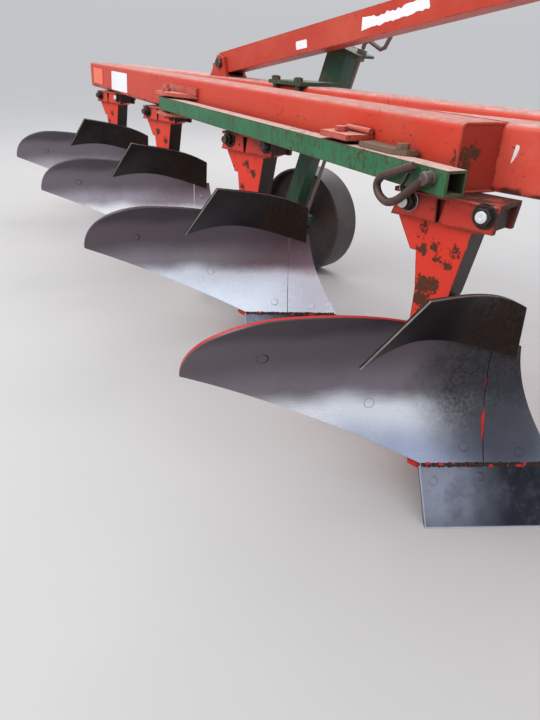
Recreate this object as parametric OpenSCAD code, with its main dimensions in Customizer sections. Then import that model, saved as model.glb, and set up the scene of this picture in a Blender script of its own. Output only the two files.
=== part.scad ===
// Mounted four-furrow moldboard plough, turning its furrows to the right.
// X is the direction of travel, Y points to the unploughed land on the left, Z is up.
// All sizes are millimetres. The floor is the plane of the share edges, z = 0.
// Body places are counted from the front bracket bolt of the first body.

/* [Plough bodies] */
// Width that each body cuts
cut_width = 300; // [290:5:320]
// Distance between bodies along the direction of travel
body_pitch = 820; // [790:10:860]
// Height of the beam's underside above the share edges
under_beam = 627; // [611:2:641]

/* [Frame] */
// Height of the frame's tubes
beam_h = 125; // [110:5:140]
// Width of the frame's tubes
beam_w = 120; // [110:5:125]
// Wall of the frame's tubes
beam_wall = 8; // [6:1:12]
// Corner radius of the frame's tubes
beam_r = 12; // [8:1:16]
// Length of the oblique main beam
main_beam_l = 3100; // [2960:10:3200]
// Distance of the land side beam's near face from the first bolt
side_beam_y = 123; // [118:1:130]
// Front face of the two long beams ahead of the first bolt
frame_front = 550; // [520:10:600]
// Place of the inner beam's near face beside the first bolt
inner_beam_y = 400; // [390:5:410]
// Where the inner beam's near face meets the main beam, behind the first bolt
inner_meet = 2703; // [2640:10:2760]
// Length of the inner beam behind the first bolt
inner_rear = 2960; // [2900:10:3000]
// Length of the front cross beam
front_beam_l = 1000; // [960:10:1100]
// Middle of the hitch, beside the first bolt
hitch_y = 430; // [420:5:440]
// Side of the square brace tube
brace_side = 90; // [70:5:110]

/* [Hitch] */
// Height of the top link pin above the lower pins
mast_h = 610; // [600:5:630]
// How far the lower pins lie below the beams' underside
lower_pin_drop = 66; // [58:2:78]
// Radius of the lower link pins
lower_pin_r = 14; // [13:0.5:15]
// Length of each lower link pin
lower_pin_l = 110; // [90:5:130]
// Distance between the shoulders of the lower pins
pin_shoulders = 825; // [800:5:870]
// Radius of the round hitch shaft
hitch_shaft_r = 25; // [22:1:30]
// Radius of the top link pin's hole
top_hole_r = 13; // [12.5:0.5:14]
// Gap between the two bars of the mast at the top
mast_gap = 56; // [54:1:60]
// Thickness of the mast's bars
mast_bar = 20; // [16:1:24]
// Height of the strut's tube
strut_h = 80; // [70:5:90]
// Width of the strut's tube
strut_w = 70; // [60:5:80]
// Place of the strut's rear pin behind the first bolt
strut_rear = 1590; // [1560:10:1620]

/* [Leg and bracket] */
// Thickness of a leg
leg_t = 60; // [50:1:62]
// Distance between the two bolts of a bracket
bolt_pitch = 156; // [150:1:160]
// Radius of the bracket bolts
bolt_r = 11; // [10:0.5:12]
// Thickness of the bracket's side plates
bracket_t = 12; // [10:1:14]
// Room between a leg and each side plate
leg_room = 3; // [1:0.5:4]
// Height of the bracket's side plates under the beam
bracket_h = 52; // [46:1:60]

/* [Share and landside] */
// Angle of the share's edge to the direction of travel
share_angle = 47.6; // [45:0.2:50]
// Angle of the share's face to the floor
share_tilt = 50.9; // [48:0.1:54]
// Width of the share, from its edge up its face
share_w = 126; // [118:1:134]
// Thickness of the share
share_t = 10; // [8:1:14]
// Length of the share's nose past the landside
share_nose = 26; // [10:1:40]
// Place of the landside's outer face beside the first bolt
land_y = 169; // [160:1:178]
// How much narrower a share is than the furrow
share_short = 23; // [0:1:40]
// Thickness of the landside
landside_t = 15; // [10:1:18]
// Length of the landside behind the first bolt
landside_rear = 420; // [380:10:480]

/* [Moldboard] */
// Thickness of the moldboard
board_t = 8; // [6:0.5:10]
// Height at which the board's profile stands upright
board_crest = 347; // [340:1:360]
// Turn of the board's level lines for each millimetre of height, in degrees
board_twist = 0.0128; // [0.0100:0.0002:0.0160]
// How much that turn grows with height, in degrees for each square millimetre
board_curl = 0.000071; // [0.000050:0.000001:0.000090]
// Height of the board's highest point
board_top = 433; // [420:1:445]
// Distance of the highest point behind the guide line
board_top_a = 496; // [480:1:510]
// Distance of the tail's end behind the guide line
board_tail_a = 684; // [670:1:700]
// Height of the tail's lowest point
tail_z = 294; // [285:1:305]
// Distance of the seam with the shin piece behind the guide line
shin_a = 54; // [50:1:60]
// Width of the seams between the share, the shin piece and the board
seam = 2; // [1:0.5:3]

/* [Trashboard] */
// Thickness of the trashboard
trash_t = 6; // [5:0.5:8]
// Height of the trashboard's lower corner on the furrow side
trash_z = 379; // [372:1:390]
// How far the trashboard reaches to the furrow side of the first bolt
trash_reach = 262; // [250:1:270]

/* [Packer arm] */
// Side of the packer arm's square tube
arm_side = 45; // [40:1:50]
// Wall of the packer arm's tube
arm_wall = 5; // [4:0.5:6]
// How far the packer arm's underside lies above the beams' underside
arm_lift = 9; // [2:1:20]
// Gap between the packer arm and the main beam
arm_gap = 24; // [20:1:30]
// Place of the packer arm's pivot along the main beam, behind the first bolt
arm_pivot = 1630; // [1610:5:1660]
// Radius of the packer arm's pivot pin
arm_pin_r = 11; // [9:0.5:12]
// Radius of the hook's rod
hook_r = 8; // [7:0.5:10]

/* [Depth wheel] */
// Radius of the depth wheel
wheel_r = 215; // [205:1:225]
// Width of the depth wheel's rim
wheel_w = 120; // [100:5:130]
// Thickness of the rim
rim_t = 8; // [6:1:10]
// Backward rake of the wheel leg
wheel_rake = 18; // [16:0.5:20]
// Side of the wheel leg's square tube
wheel_leg_side = 60; // [55:1:62]
// Side of the guide tube around the wheel leg
guide_side = 80; // [78:1:86]
// Room between the wheel leg and its guide tube on each side
guide_room = 0.5; // [0.3:0.1:1]
// Length of the guide tube
guide_l = 393; // [380:1:400]
// How far the guide tube reaches down past the beams' underside
guide_hang = 134; // [128:1:138]
// Travel of the wheel leg in its guide tube
wheel_travel = 200; // [180:5:200]
// Place of the wheel's centre behind the first bolt
wheel_x = 1205; // [1195:1:1215]
// Place of the wheel leg's middle beside the first bolt
wheel_leg_y = 870; // [868:1:880]
// Radius of the wheel's axle
axle_r = 15; // [13:0.5:17]
// Radius of the screw that sets the wheel's depth
screw_r = 7; // [6:0.5:8]

/* [Parking stand] */
// Side of the stand's square leg
stand_side = 50; // [45:1:55]
// Room between the stand's leg and its sleeve on each side
stand_room = 0.5; // [0.3:0.1:1]
// Length of the stand's leg
stand_l = 790; // [770:10:850]
// Radius of the screw that holds the stand's leg
stand_screw_r = 8; // [7:0.5:9]

/* [Hidden] */

body_count = 4;
last_body = body_count - 1;
paint = "orangered";
steel = "dimgray";
green = "seagreen";

beam_angle = atan(cut_width / body_pitch);
body_step = sqrt(cut_width * cut_width + body_pitch * body_pitch);
beam_top = under_beam + beam_h;
beam_front = -88;
lower_pin_z = under_beam - lower_pin_drop;
arm_z = under_beam + arm_lift;
meet_far_y = inner_meet * tan(beam_angle) + beam_w / cos(beam_angle);
inner_angle = atan((meet_far_y - inner_beam_y) / inner_meet);
shaft_x = frame_front + beam_w + 30;
lug_front_x = shaft_x + 40;
big = 6000;

module in_frame() translate([-centre_x, -centre_y, 0]) children();
module at_body(k) translate([-k * body_pitch, k * cut_width, 0]) children();

// Main beam's own frame: X forward along the beam, Y to the land from its near face
module along_main() rotate([0, 0, -beam_angle]) children();

// Inner beam's own frame: X forward along the beam, Y to the land from its near face
module along_inner() translate([0, inner_beam_y, 0]) rotate([0, 0, -inner_angle]) children();

// Rectangular bar with rounded long edges, from x0 to x1
module round_bar(x0, x1, w, h, r) {
    translate([x0, 0, 0]) rotate([90, 0, 90]) linear_extrude(height = x1 - x0)
        translate([r, r]) {
            square([w - 2 * r, h - 2 * r]);
            translate([-r, 0]) square([r, h - 2 * r]);
            translate([w - 2 * r, 0]) square([r, h - 2 * r]);
            translate([0, -r]) square([w - 2 * r, r]);
            translate([0, h - 2 * r]) square([w - 2 * r, r]);
            for (cx = [0, w - 2 * r], cy = [0, h - 2 * r]) translate([cx, cy]) circle(r, $fn = 24);
        }
}

// Frame tube closed at both ends, its walls beam_wall thick
module closed_tube(x0, x1) {
    translate([0, 0, under_beam]) difference() {
        round_bar(x0, x1, beam_w, beam_h, beam_r);
        translate([x0 + beam_wall, beam_wall, beam_wall])
            cube([x1 - x0 - 2 * beam_wall, beam_w - 2 * beam_wall, beam_h - 2 * beam_wall]);
    }
}

// Space that the main beam fills, carried on to its furrow side and past its rear end
module main_space() {
    along_main() translate([-big, -big, under_beam - 1]) cube([big + beam_front, big + beam_w, beam_h + 2]);
}

module main_beam() color(paint) in_frame() along_main()
    closed_tube(beam_front - main_beam_l, beam_front);

module side_beam() color(paint) in_frame() difference() {
    translate([0, side_beam_y, 0]) closed_tube(-(side_beam_y + 1.2 * beam_w) / tan(beam_angle), frame_front);
    main_space();
}

module inner_beam() color(paint) in_frame() difference() {
    along_inner() closed_tube(-inner_rear, frame_front + 200);
    main_space();
    translate([frame_front, -big, 0]) cube([big, 2 * big, big]);
}

module front_beam() color(paint) in_frame()
    translate([frame_front + beam_w, hitch_y - front_beam_l / 2, 0]) rotate([0, 0, 90])
        closed_tube(0, front_beam_l);

// Square brace from the front beam's left end back to the inner beam
brace_angle = 27;
brace_l = 1000;
brace_in = 100;
module frame_brace() color(paint) in_frame() difference() {
    translate([frame_front, hitch_y + front_beam_l / 2 - brace_in, under_beam + (beam_h - brace_side) / 2])
        rotate([0, 0, brace_angle]) difference() {
            translate([brace_in - brace_l, -brace_side / 2, 0]) cube([brace_l, brace_side, brace_side]);
            translate([brace_in - brace_l - 1, beam_wall - brace_side / 2, beam_wall])
                cube([brace_l + 2, brace_side - 2 * beam_wall, brace_side - 2 * beam_wall]);
        }
    translate([frame_front, -big, 0]) cube([big, 2 * big, big]);
    along_inner() translate([-big, -big + beam_w, 0]) cube([2 * big, big, big]);
}

// Mast: two bent bars with the top link holes, a tie plate and two feet
mast_x = frame_front + 20;
mast_depth = 100;
mast_foot = 250;
mast_bend = under_beam + beam_h + 330;
top_pin_z = lower_pin_z + mast_h;
top_pin_x = mast_x + 72;
strut_pin_x = mast_x + 24;
mast_top = top_pin_z + 40;

module mast_bar_shape(s) {
    g = mast_gap / 2;
    polygon([[s * (mast_foot + mast_bar), beam_top], [s * mast_foot, beam_top],
        [s * g, mast_bend], [s * g, mast_top], [s * (g + mast_bar), mast_top],
        [s * (g + mast_bar), mast_bend + 6]]);
}
module mast() color(paint) in_frame() translate([0, hitch_y, 0]) difference() {
    union() {
        for (s = [-1, 1]) {
            translate([mast_x, 0, 0]) rotate([90, 0, 90]) linear_extrude(height = mast_depth)
                mast_bar_shape(s);
            translate([mast_x, s * (mast_foot + 15) - 45, beam_top]) cube([mast_depth, 90, 12]);
        }
        translate([mast_x + 20, -170, beam_top + 108]) cube([60, 340, 14]);
    }
    translate([mast_x - 1, 0, 0]) rotate([90, 0, 90]) linear_extrude(height = mast_depth + 2) difference() {
        translate([-500, beam_top + 20]) square([1000, 300]);
        polygon([[mast_foot + mast_bar, beam_top], [-mast_foot - mast_bar, beam_top],
            [-mast_gap / 2 - mast_bar, mast_bend + 6], [mast_gap / 2 + mast_bar, mast_bend + 6]]);
    }
    for (x = [strut_pin_x, top_pin_x]) translate([x, 0, top_pin_z])
        rotate([90, 0, 0]) cylinder(r = top_hole_r, h = 200, center = true, $fn = 48);
}

// Hitch lugs under the front beam and the cross shaft with the lower link pins
lug_t = 20;
lug_y = 300;
module lug_shape() {
    polygon([[frame_front + 10, under_beam], [frame_front + beam_w, under_beam],
        [frame_front + beam_w, under_beam + 60], [lug_front_x, under_beam + 20],
        [lug_front_x, lower_pin_z], [shaft_x + 28, lower_pin_z - 38],
        [shaft_x - 28, lower_pin_z - 38]]);
}
module hitch_lugs() color(paint) in_frame() for (s = [-1, 1])
    translate([0, hitch_y + s * lug_y + lug_t / 2, 0]) difference() {
        rotate([90, 0, 0]) linear_extrude(height = lug_t) lug_shape();
        translate([shaft_x, 1, lower_pin_z]) rotate([90, 0, 0])
            cylinder(r = hitch_shaft_r + 0.05, h = lug_t + 2, $fn = 48);
    }

module hitch_shaft() color("silver") in_frame() translate([shaft_x, hitch_y, lower_pin_z])
    rotate([90, 0, 0]) {
        cylinder(r = hitch_shaft_r, h = pin_shoulders, center = true, $fn = 48);
        cylinder(r = lower_pin_r, h = pin_shoulders + 2 * lower_pin_l, center = true, $fn = 48);
        for (s = [-1, 1]) translate([0, 0, s * (pin_shoulders / 2 - 6)])
            cylinder(r = hitch_shaft_r + 12, h = 12, center = true, $fn = 48);
    }

// Strut from its foot on the inner beam up to the mast
foot_t = 5;
foot_y = inner_beam_y + tan(inner_angle) * strut_rear + beam_w / 2 / cos(inner_angle);
foot_pin_z = beam_top + foot_t + strut_h / 2 + 4;
strut_dx = strut_rear + strut_pin_x;
strut_dy = hitch_y - foot_y;
strut_yaw = atan2(strut_dy, strut_dx);
strut_run = sqrt(strut_dx * strut_dx + strut_dy * strut_dy);
strut_pitch = atan2(top_pin_z - foot_pin_z, strut_run);
strut_len = strut_run / cos(strut_pitch);
strut_pin_r = 12.5;
strut_wall = 6;
tongue_w = 36;
tongue_l = 110;
ear_t = 12;
ear_room = 1;

module along_strut() translate([-strut_rear, foot_y, foot_pin_z])
    rotate([0, 0, strut_yaw]) rotate([0, -strut_pitch, 0]) children();

module strut() color(paint) in_frame() difference() {
    along_strut() {
        difference() {
            translate([-24, -strut_w / 2, -strut_h / 2]) cube([strut_len - tongue_l + 24, strut_w, strut_h]);
            translate([-25, strut_wall - strut_w / 2, strut_wall - strut_h / 2])
                cube([strut_len - tongue_l + 25 - 10, strut_w - 2 * strut_wall, strut_h - 2 * strut_wall]);
        }
        translate([strut_len - tongue_l - 1, -tongue_w / 2, -30]) cube([tongue_l + 1, tongue_w, 60]);
        translate([strut_len, 0, 0]) rotate([90, 0, 0])
            cylinder(r = 30, h = tongue_w, center = true, $fn = 48);
    }
    along_strut() rotate([90, 0, 0]) cylinder(r = strut_pin_r + 0.5, h = 200, center = true, $fn = 32);
    translate([strut_pin_x, hitch_y, top_pin_z]) rotate([90, 0, 0])
        cylinder(r = strut_pin_r + 0.5, h = 200, center = true, $fn = 32);
}

module strut_foot() color(paint) in_frame() translate([-strut_rear, foot_y, 0])
    rotate([0, 0, strut_yaw]) difference() {
        w = strut_w / 2 + ear_room;
        union() {
            translate([-78, -w - ear_t, beam_top]) cube([134, 2 * (w + ear_t), foot_t]);
            for (s = [-1, 1]) translate([0, s * (w + ear_t / 2), beam_top])
                rotate([90, 0, 0]) linear_extrude(height = ear_t, center = true)
                    polygon([[-78, 0], [50, 0], [28, strut_h / 2 + 32], [-22, strut_h / 2 + 38]]);
            translate([-78, -w, beam_top]) cube([ear_t, 2 * w, 46]);
        }
        translate([0, 0, foot_pin_z]) rotate([90, 0, 0])
            cylinder(r = strut_pin_r + 0.5, h = 300, center = true, $fn = 32);
    }

// Pin with a head at each end, half_l long on either side
module headed_pin(half_l) rotate([90, 0, 0]) {
    cylinder(r = strut_pin_r, h = 2 * half_l, center = true, $fn = 32);
    for (s = [-1, 1]) translate([0, 0, s * (half_l + 6)]) cylinder(r = 20, h = 12, center = true, $fn = 6);
}
module strut_pins() color(steel) in_frame() {
    translate([-strut_rear, foot_y, foot_pin_z]) rotate([0, 0, strut_yaw])
        headed_pin(strut_w / 2 + ear_room + ear_t + 0.3);
    translate([strut_pin_x, hitch_y, top_pin_z]) headed_pin(mast_gap / 2 + mast_bar + 0.3);
}

// Leg and its bracket, in the frame of one body
bolt_z = under_beam - 21;
near_y = 10;
leg_y = near_y + bracket_t + leg_room;
far_y = leg_y + leg_t + leg_room;
bracket_bottom = under_beam - bracket_h;
flange_t = 8;

// Plate from an outline in X and Z, t thick from y0 to the land
module side_plate(y0, t, pts) translate([0, y0 + t, 0]) rotate([90, 0, 0])
    linear_extrude(height = t) polygon(pts);

module bolt_holes(r) for (x = [0, -bolt_pitch]) translate([x, 0, bolt_z])
    rotate([90, 0, 0]) cylinder(r = r, h = 500, center = true, $fn = 32);

module leg_bracket(k) color(paint) in_frame() at_body(k) difference() {
    f = under_beam - flange_t;
    union() {
        side_plate(near_y, bracket_t, [[-bolt_pitch - 5, f + 1], [-97, f + 1], [-93, bracket_bottom],
            [-bolt_pitch - 36, bracket_bottom], [-bolt_pitch - 30, bracket_bottom + 18]]);
        side_plate(near_y, bracket_t, [[-80, f + 1], [25, f + 1], [20, bracket_bottom],
            [-88, bracket_bottom]]);
        side_plate(far_y, bracket_t, [[-bolt_pitch - 34, f + 1], [25, f + 1], [20, bracket_bottom],
            [-bolt_pitch - 36, bracket_bottom]]);
        translate([-bolt_pitch - 34, near_y, f])
            cube([bolt_pitch + 59, far_y + bracket_t - near_y, flange_t]);
    }
    bolt_holes(bolt_r + 0.5);
}

leg_foot_z = share_w * sin(share_tilt) + 28;
leg_rear_x = -122;
leg_neck_z = under_beam - 193;
// Outline of a leg, seen from the furrow side: x, z
leg_outline = [[15, under_beam - 12], [15, bracket_bottom + 4], [-24, bracket_bottom - 10],
    [-48, leg_neck_z], [-62, leg_neck_z - 40], [-60, 340], [-52, 300], [-39, 250], [-20, 200], [6, 150], [18, leg_foot_z],
    [leg_rear_x, leg_foot_z], [leg_rear_x, leg_neck_z],
    [-133, leg_neck_z + 77], [-146, leg_neck_z + 77], [-bolt_pitch - 25, bracket_bottom - 6],
    [-bolt_pitch - 25, under_beam - 12]];
module leg(k) color(paint) in_frame() at_body(k) difference() {
    side_plate(leg_y, leg_t, leg_outline);
    bolt_holes(bolt_r + 0.5);
}

// Bracket bolt along Y, its end out mm past its nut on the furrow side
module leg_bolt(out) translate([0, far_y + bracket_t + 14, 0]) rotate([90, 0, 0]) {
    span = far_y + bracket_t - near_y;
    cylinder(r = bolt_r, h = span + 28 + out, $fn = 32);
    cylinder(r = 17, h = 11, $fn = 6);
    for (h = [11, 14 + span]) translate([0, 0, h]) cylinder(r = 20, h = 3, $fn = 32);
    translate([0, 0, 17 + span]) cylinder(r = 17, h = 11, $fn = 6);
}
module leg_bolts() color(steel) in_frame() for (k = [0:last_body]) at_body(k) {
    translate([0, 0, bolt_z]) leg_bolt(2);
    translate([-bolt_pitch, 0, bolt_z]) leg_bolt(9);
}

// Share: a plate on the inclined plane through the share edge
share_cut = cut_width - share_short;
share_l = share_cut / sin(share_angle);
wing_x = 60;
wing_y = land_y - share_cut;
share_top = share_w * sin(share_tilt);
share_back = share_w * cos(share_tilt);

module on_share_plane() translate([wing_x, wing_y, 0]) rotate([0, 0, share_angle])
    rotate([share_tilt, 0, 0]) children();
// Everything in front of the plane that lies d behind the share's face
module ahead_of_share(d) on_share_plane() translate([-big / 2, -big / 2, -d]) cube([big, big, big]);

module share(k) color("silver") in_frame() at_body(k) difference() {
    on_share_plane() translate([0, 0, -share_t]) linear_extrude(height = share_t)
        polygon([[0, 0], [share_l + share_nose, 0], [share_l + share_nose - 8, 26],
            [share_l - 20, 62], [share_l - share_back / tan(share_angle) - 4, share_w], [-5, share_w]]);
    translate([-big / 2, -big / 2, -big]) cube([big, big, big]);
}

// Frog: the seat behind the share and the web plate that joins it to the leg
frog_t = 18;
web_t = 20;
web_y = leg_y + leg_t;
seat_gap = 0.5;
// Bolts through the board: distance behind the guide line, height
board_bolts = [[-530, 333], [-302, 220], [-96, 131]];
shin_bolt = [24, 120];
// Round seat, h long, against the back of the board at a bolt
module board_seat(bolt, r, h) {
    n = board_face(bolt[0], bolt[1]);
    rod(board_point(bolt[0], bolt[1]) - (board_t + seat_gap) * n,
        board_point(bolt[0], bolt[1]) - (board_t + seat_gap + h) * n, r);
}
module frogs() color(paint) in_frame() for (k = [0:last_body]) at_body(k) {
    difference() {
        union() {
            on_share_plane() translate([45, 22, -share_t - frog_t])
                cube([share_l - 95, share_w + 20, frog_t]);
            side_plate(web_y, web_t, [[-118, 14], [220, 14], [220, 60], [100, leg_foot_z],
                [60, 124], [30, 160], [2, 210], [-22, 262], [-30, 300], [-60, 330], [-118, 330]]);
            translate([-60, web_y + web_t - 1, 18])
                cube([260, land_y - landside_t - web_y - web_t + 1, 68]);
        }
        ahead_of_share(share_t);
        translate([-big / 2, land_y - landside_t, -big / 2]) cube([big, big, big]);
        translate([-big / 2, -big / 2, -big + 8]) cube([big, big, big]);
    }
    board_seat(board_bolts[2], 16, 16);
    board_seat(shin_bolt, 13, 12);
}

// Landside with its heel, behind the share
module landsides() color(steel) in_frame() for (k = [0:last_body]) at_body(k) difference() {
    union() {
        translate([-landside_rear, land_y - landside_t, 4])
            cube([landside_rear + 300, landside_t, share_top - 4 - 3]);
        translate([-landside_rear, land_y - landside_t - 14, 0]) cube([110, landside_t + 14, 70]);
    }
    ahead_of_share(share_t);
}

// Board surface: level straight lines, turned and set back with height
guide_s = share_l / 2;
board_rise = (share_back / share_top) / (1 - share_top / (2 * board_crest));
function board_set(z) = board_rise * z * (1 - z / (2 * board_crest));
function board_set_slope(z) = board_rise * (1 - z / board_crest);
function above_share(z) = max(0, z - share_top);
function board_turn(z) = share_angle + (board_twist + board_curl * above_share(z)) * above_share(z);
function board_turn_slope(z) = z > share_top ? (board_twist + 2 * board_curl * above_share(z)) * PI / 180 : 0;
function level_dir(t) = [cos(t), sin(t), 0];
function back_dir(t) = [-sin(t), cos(t), 0];
function board_point(a, z) = [wing_x, wing_y, z] + guide_s * level_dir(share_angle)
    + board_set(z) * back_dir(share_angle) + a * level_dir(board_turn(z));
function board_up(a, z) = [0, 0, 1] + board_set_slope(z) * back_dir(share_angle)
    + a * board_turn_slope(z) * back_dir(board_turn(z));
function unit(v) = v / norm(v);
// Outward normal of the board's worked face
function board_face(a, z) = unit(cross(level_dir(board_turn(z)), board_up(a, z)));
function board_back(a, z) = board_point(a, z) - board_t * board_face(a, z);

// Top and lower edge of the board over the distance a along its level lines
top_sag = 0.000511;
tail_round = board_tail_a - board_top_a + 0.5;
function board_top_edge(a) = a > -board_top_a ? board_top - top_sag * pow(a + board_top_a, 2)
    : tail_z + (board_top - tail_z) * sqrt(max(0, 1 - pow((a + board_top_a) / tail_round, 2)));
wing_a = -guide_s + 4;
lower_rise = (tail_z - share_top) / (board_tail_a + wing_a);
function board_low_edge(a) = share_top + seam + (a < wing_a ? (wing_a - a) * lower_rise : 0);

function flat(rows) = [for (r = rows) for (p = r) p];
// Closed shell between two grids of points of the same size
module shell(front, back) {
    n = len(front) - 1;
    m = len(front[0]) - 1;
    w = m + 1;
    half = (n + 1) * w;
    polyhedron(points = concat(flat(front), flat(back)), convexity = 6, faces = concat(
        [for (i = [0:n - 1], j = [0:m - 1]) [i * w + j, i * w + j + 1, (i + 1) * w + j + 1]],
        [for (i = [0:n - 1], j = [0:m - 1]) [i * w + j, (i + 1) * w + j + 1, (i + 1) * w + j]],
        [for (i = [0:n - 1], j = [0:m - 1]) [half + i * w + j, half + (i + 1) * w + j + 1, half + i * w + j + 1]],
        [for (i = [0:n - 1], j = [0:m - 1]) [half + i * w + j, half + (i + 1) * w + j, half + (i + 1) * w + j + 1]],
        [for (i = [0:n - 1]) [i * w, (i + 1) * w, half + (i + 1) * w]],
        [for (i = [0:n - 1]) [i * w, half + (i + 1) * w, half + i * w]],
        [for (i = [0:n - 1]) [i * w + m, half + (i + 1) * w + m, (i + 1) * w + m]],
        [for (i = [0:n - 1]) [i * w + m, half + i * w + m, half + (i + 1) * w + m]],
        [for (j = [0:m - 1]) [j, half + j + 1, j + 1]],
        [for (j = [0:m - 1]) [j, half + j, half + j + 1]],
        [for (j = [0:m - 1]) [n * w + j, n * w + j + 1, half + n * w + j + 1]],
        [for (j = [0:m - 1]) [n * w + j, half + n * w + j + 1, half + n * w + j]]));
}

board_cols = 22;
board_rows = 9;
function board_col(i) = -board_tail_a + (board_tail_a - shin_a - seam / 2) * (1 - cos(90 * i / board_cols));
function board_cell(i, j) = [board_col(i), board_low_edge(board_col(i))
    + (board_top_edge(board_col(i)) - board_low_edge(board_col(i))) * j / board_rows];

// Place of the whole plough's middle, seen from above, from the first bolt
board_low_y = min([for (i = [0:board_cols], j = [0:board_rows]) let (c = board_cell(i, j))
    min(board_point(c[0], c[1])[1], board_back(c[0], c[1])[1])]);
centre_x = (lug_front_x + (beam_front - main_beam_l) * cos(beam_angle)) / 2;
centre_y = (inner_beam_y + inner_rear * sin(inner_angle) + beam_w * cos(inner_angle) + board_low_y) / 2;

module moldboard(k) color("silver") in_frame() at_body(k) shell(
    [for (i = [0:board_cols]) [for (j = [0:board_rows]) let (c = board_cell(i, j)) board_point(c[0], c[1])]],
    [for (i = [0:board_cols]) [for (j = [0:board_rows]) let (c = board_cell(i, j)) board_back(c[0], c[1])]]);

// Shin piece: from the seam forward to the furrow wall
shin_lean = 0.055;
function shin_y(z) = land_y - 6 - shin_lean * (z - share_top);
function shin_end(z) = (shin_y(z) - board_point(0, z)[1]) / sin(board_turn(z));
shin_cols = 4;
shin_top = board_top_edge(-shin_a);
function shin_cell(i, j) = let (z = share_top + seam + (shin_top - share_top - seam) * j / board_rows,
    a0 = -shin_a + seam / 2) [a0 + (shin_end(z) - a0) * i / shin_cols, z];
module shin_pieces() color("silver") in_frame() for (k = [0:last_body]) at_body(k) shell(
    [for (i = [0:shin_cols]) [for (j = [0:board_rows]) let (c = shin_cell(i, j)) board_point(c[0], c[1])]],
    [for (i = [0:shin_cols]) [for (j = [0:board_rows]) let (c = shin_cell(i, j)) board_back(c[0], c[1])]]);

// Trashboard: a ruled plate between its lower and its upper edge, standing off the board
function along(c, t) = pow(1 - t, 3) * c[0] + 3 * pow(1 - t, 2) * t * c[1] + 3 * (1 - t) * t * t * c[2]
    + pow(t, 3) * c[3];
function along_slope(c, t) = 3 * pow(1 - t, 2) * (c[1] - c[0]) + 6 * (1 - t) * t * (c[2] - c[1])
    + 3 * t * t * (c[3] - c[2]);
// Guide points of both edges, from the furrow side to the land
trash_low = [[-41, -trash_reach, trash_z], [-52, -trash_reach + 184, trash_z + 16],
    [-35, -4, trash_z - 11], [73, 134, trash_z - 68]];
trash_high = [[41, -trash_reach + 45, trash_z + 135], [31, -trash_reach + 189, trash_z + 106],
    [41, 55, trash_z + 90], [66, 143, trash_z + 39]];
trash_cols = 16;
trash_rows = 3;
function trash_front(u, v) = (1 - v) * along(trash_low, u) + v * along(trash_high, u);
function trash_face(u, v) = unit(cross((1 - v) * along_slope(trash_low, u) + v * along_slope(trash_high, u),
    along(trash_high, u) - along(trash_low, u)));
function trash_point(i, j, d) = let (u = i / trash_cols, v = j / trash_rows)
    trash_front(u, v) - d * trash_face(u, v);
// Point of the plate at the height z, and the place along it where this point has the wanted y
function trash_level(u, z) = let (l = along(trash_low, u), h = along(trash_high, u))
    l + (h - l) * (z - l[2]) / (h[2] - l[2]);
function trash_at(y, z, a = 0, b = 1, n = 24) = let (m = (a + b) / 2)
    n == 0 ? trash_level(m, z) : trash_level(m, z)[1] < y ? trash_at(y, z, m, b, n - 1) : trash_at(y, z, a, m, n - 1);
// Stem between the leg and the trashboard's back
stem_z = 421;
stem_h = 12;
stem_y = leg_y + 15;
stem_w = 30;
leg_front_x = -70;
function stem_x(y) = trash_at(y, stem_z - stem_h / 2)[0] - 2.5;
module trashboard(k) color(steel) in_frame() at_body(k) union() {
    shell([for (i = [0:trash_cols]) [for (j = [0:trash_rows]) trash_point(i, j, 0)]],
        [for (i = [0:trash_cols]) [for (j = [0:trash_rows]) trash_point(i, j, trash_t)]]);
    difference() {
        translate([0, 0, stem_z - stem_h / 2]) linear_extrude(height = stem_h) polygon([
            [leg_front_x, stem_y], [leg_front_x, stem_y + stem_w],
            [stem_x(stem_y + stem_w), stem_y + stem_w], [stem_x(stem_y), stem_y]]);
        side_plate(leg_y - 1, leg_t + 2, leg_outline);
    }
}

// Round rod between two points
module rod(p, q, r) translate(p) rotate([0, acos((q[2] - p[2]) / norm(q - p)), atan2(q[1] - p[1], q[0] - p[0])])
    cylinder(r = r, h = norm(q - p), $fn = 24);

// Braces from the leg to the back of the board, each with a seat at either end
brace_r = 13;
brace_z = 230;
module tail_braces() color(paint) in_frame() for (k = [0:last_body]) at_body(k) {
    translate([leg_rear_x - 14, leg_y + 4, brace_z - 24]) cube([14, leg_t - 8, 48]);
    translate([leg_rear_x + 8, leg_y - 12, brace_z - 44]) cube([52, 12, 44]);
    for (i = [0, 1]) {
        n = board_face(board_bolts[i][0], board_bolts[i][1]);
        r = i == 0 ? brace_r : brace_r - 3;
        tip = board_point(board_bolts[i][0], board_bolts[i][1]) - (board_t + r + 4) * n;
        rod(i == 0 ? [leg_rear_x - 14, leg_y + leg_t / 2, brace_z] : [leg_rear_x + 34, leg_y - 5, brace_z - 22],
            tip, r);
        board_seat(board_bolts[i], 17, r + 5);
    }
}

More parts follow.
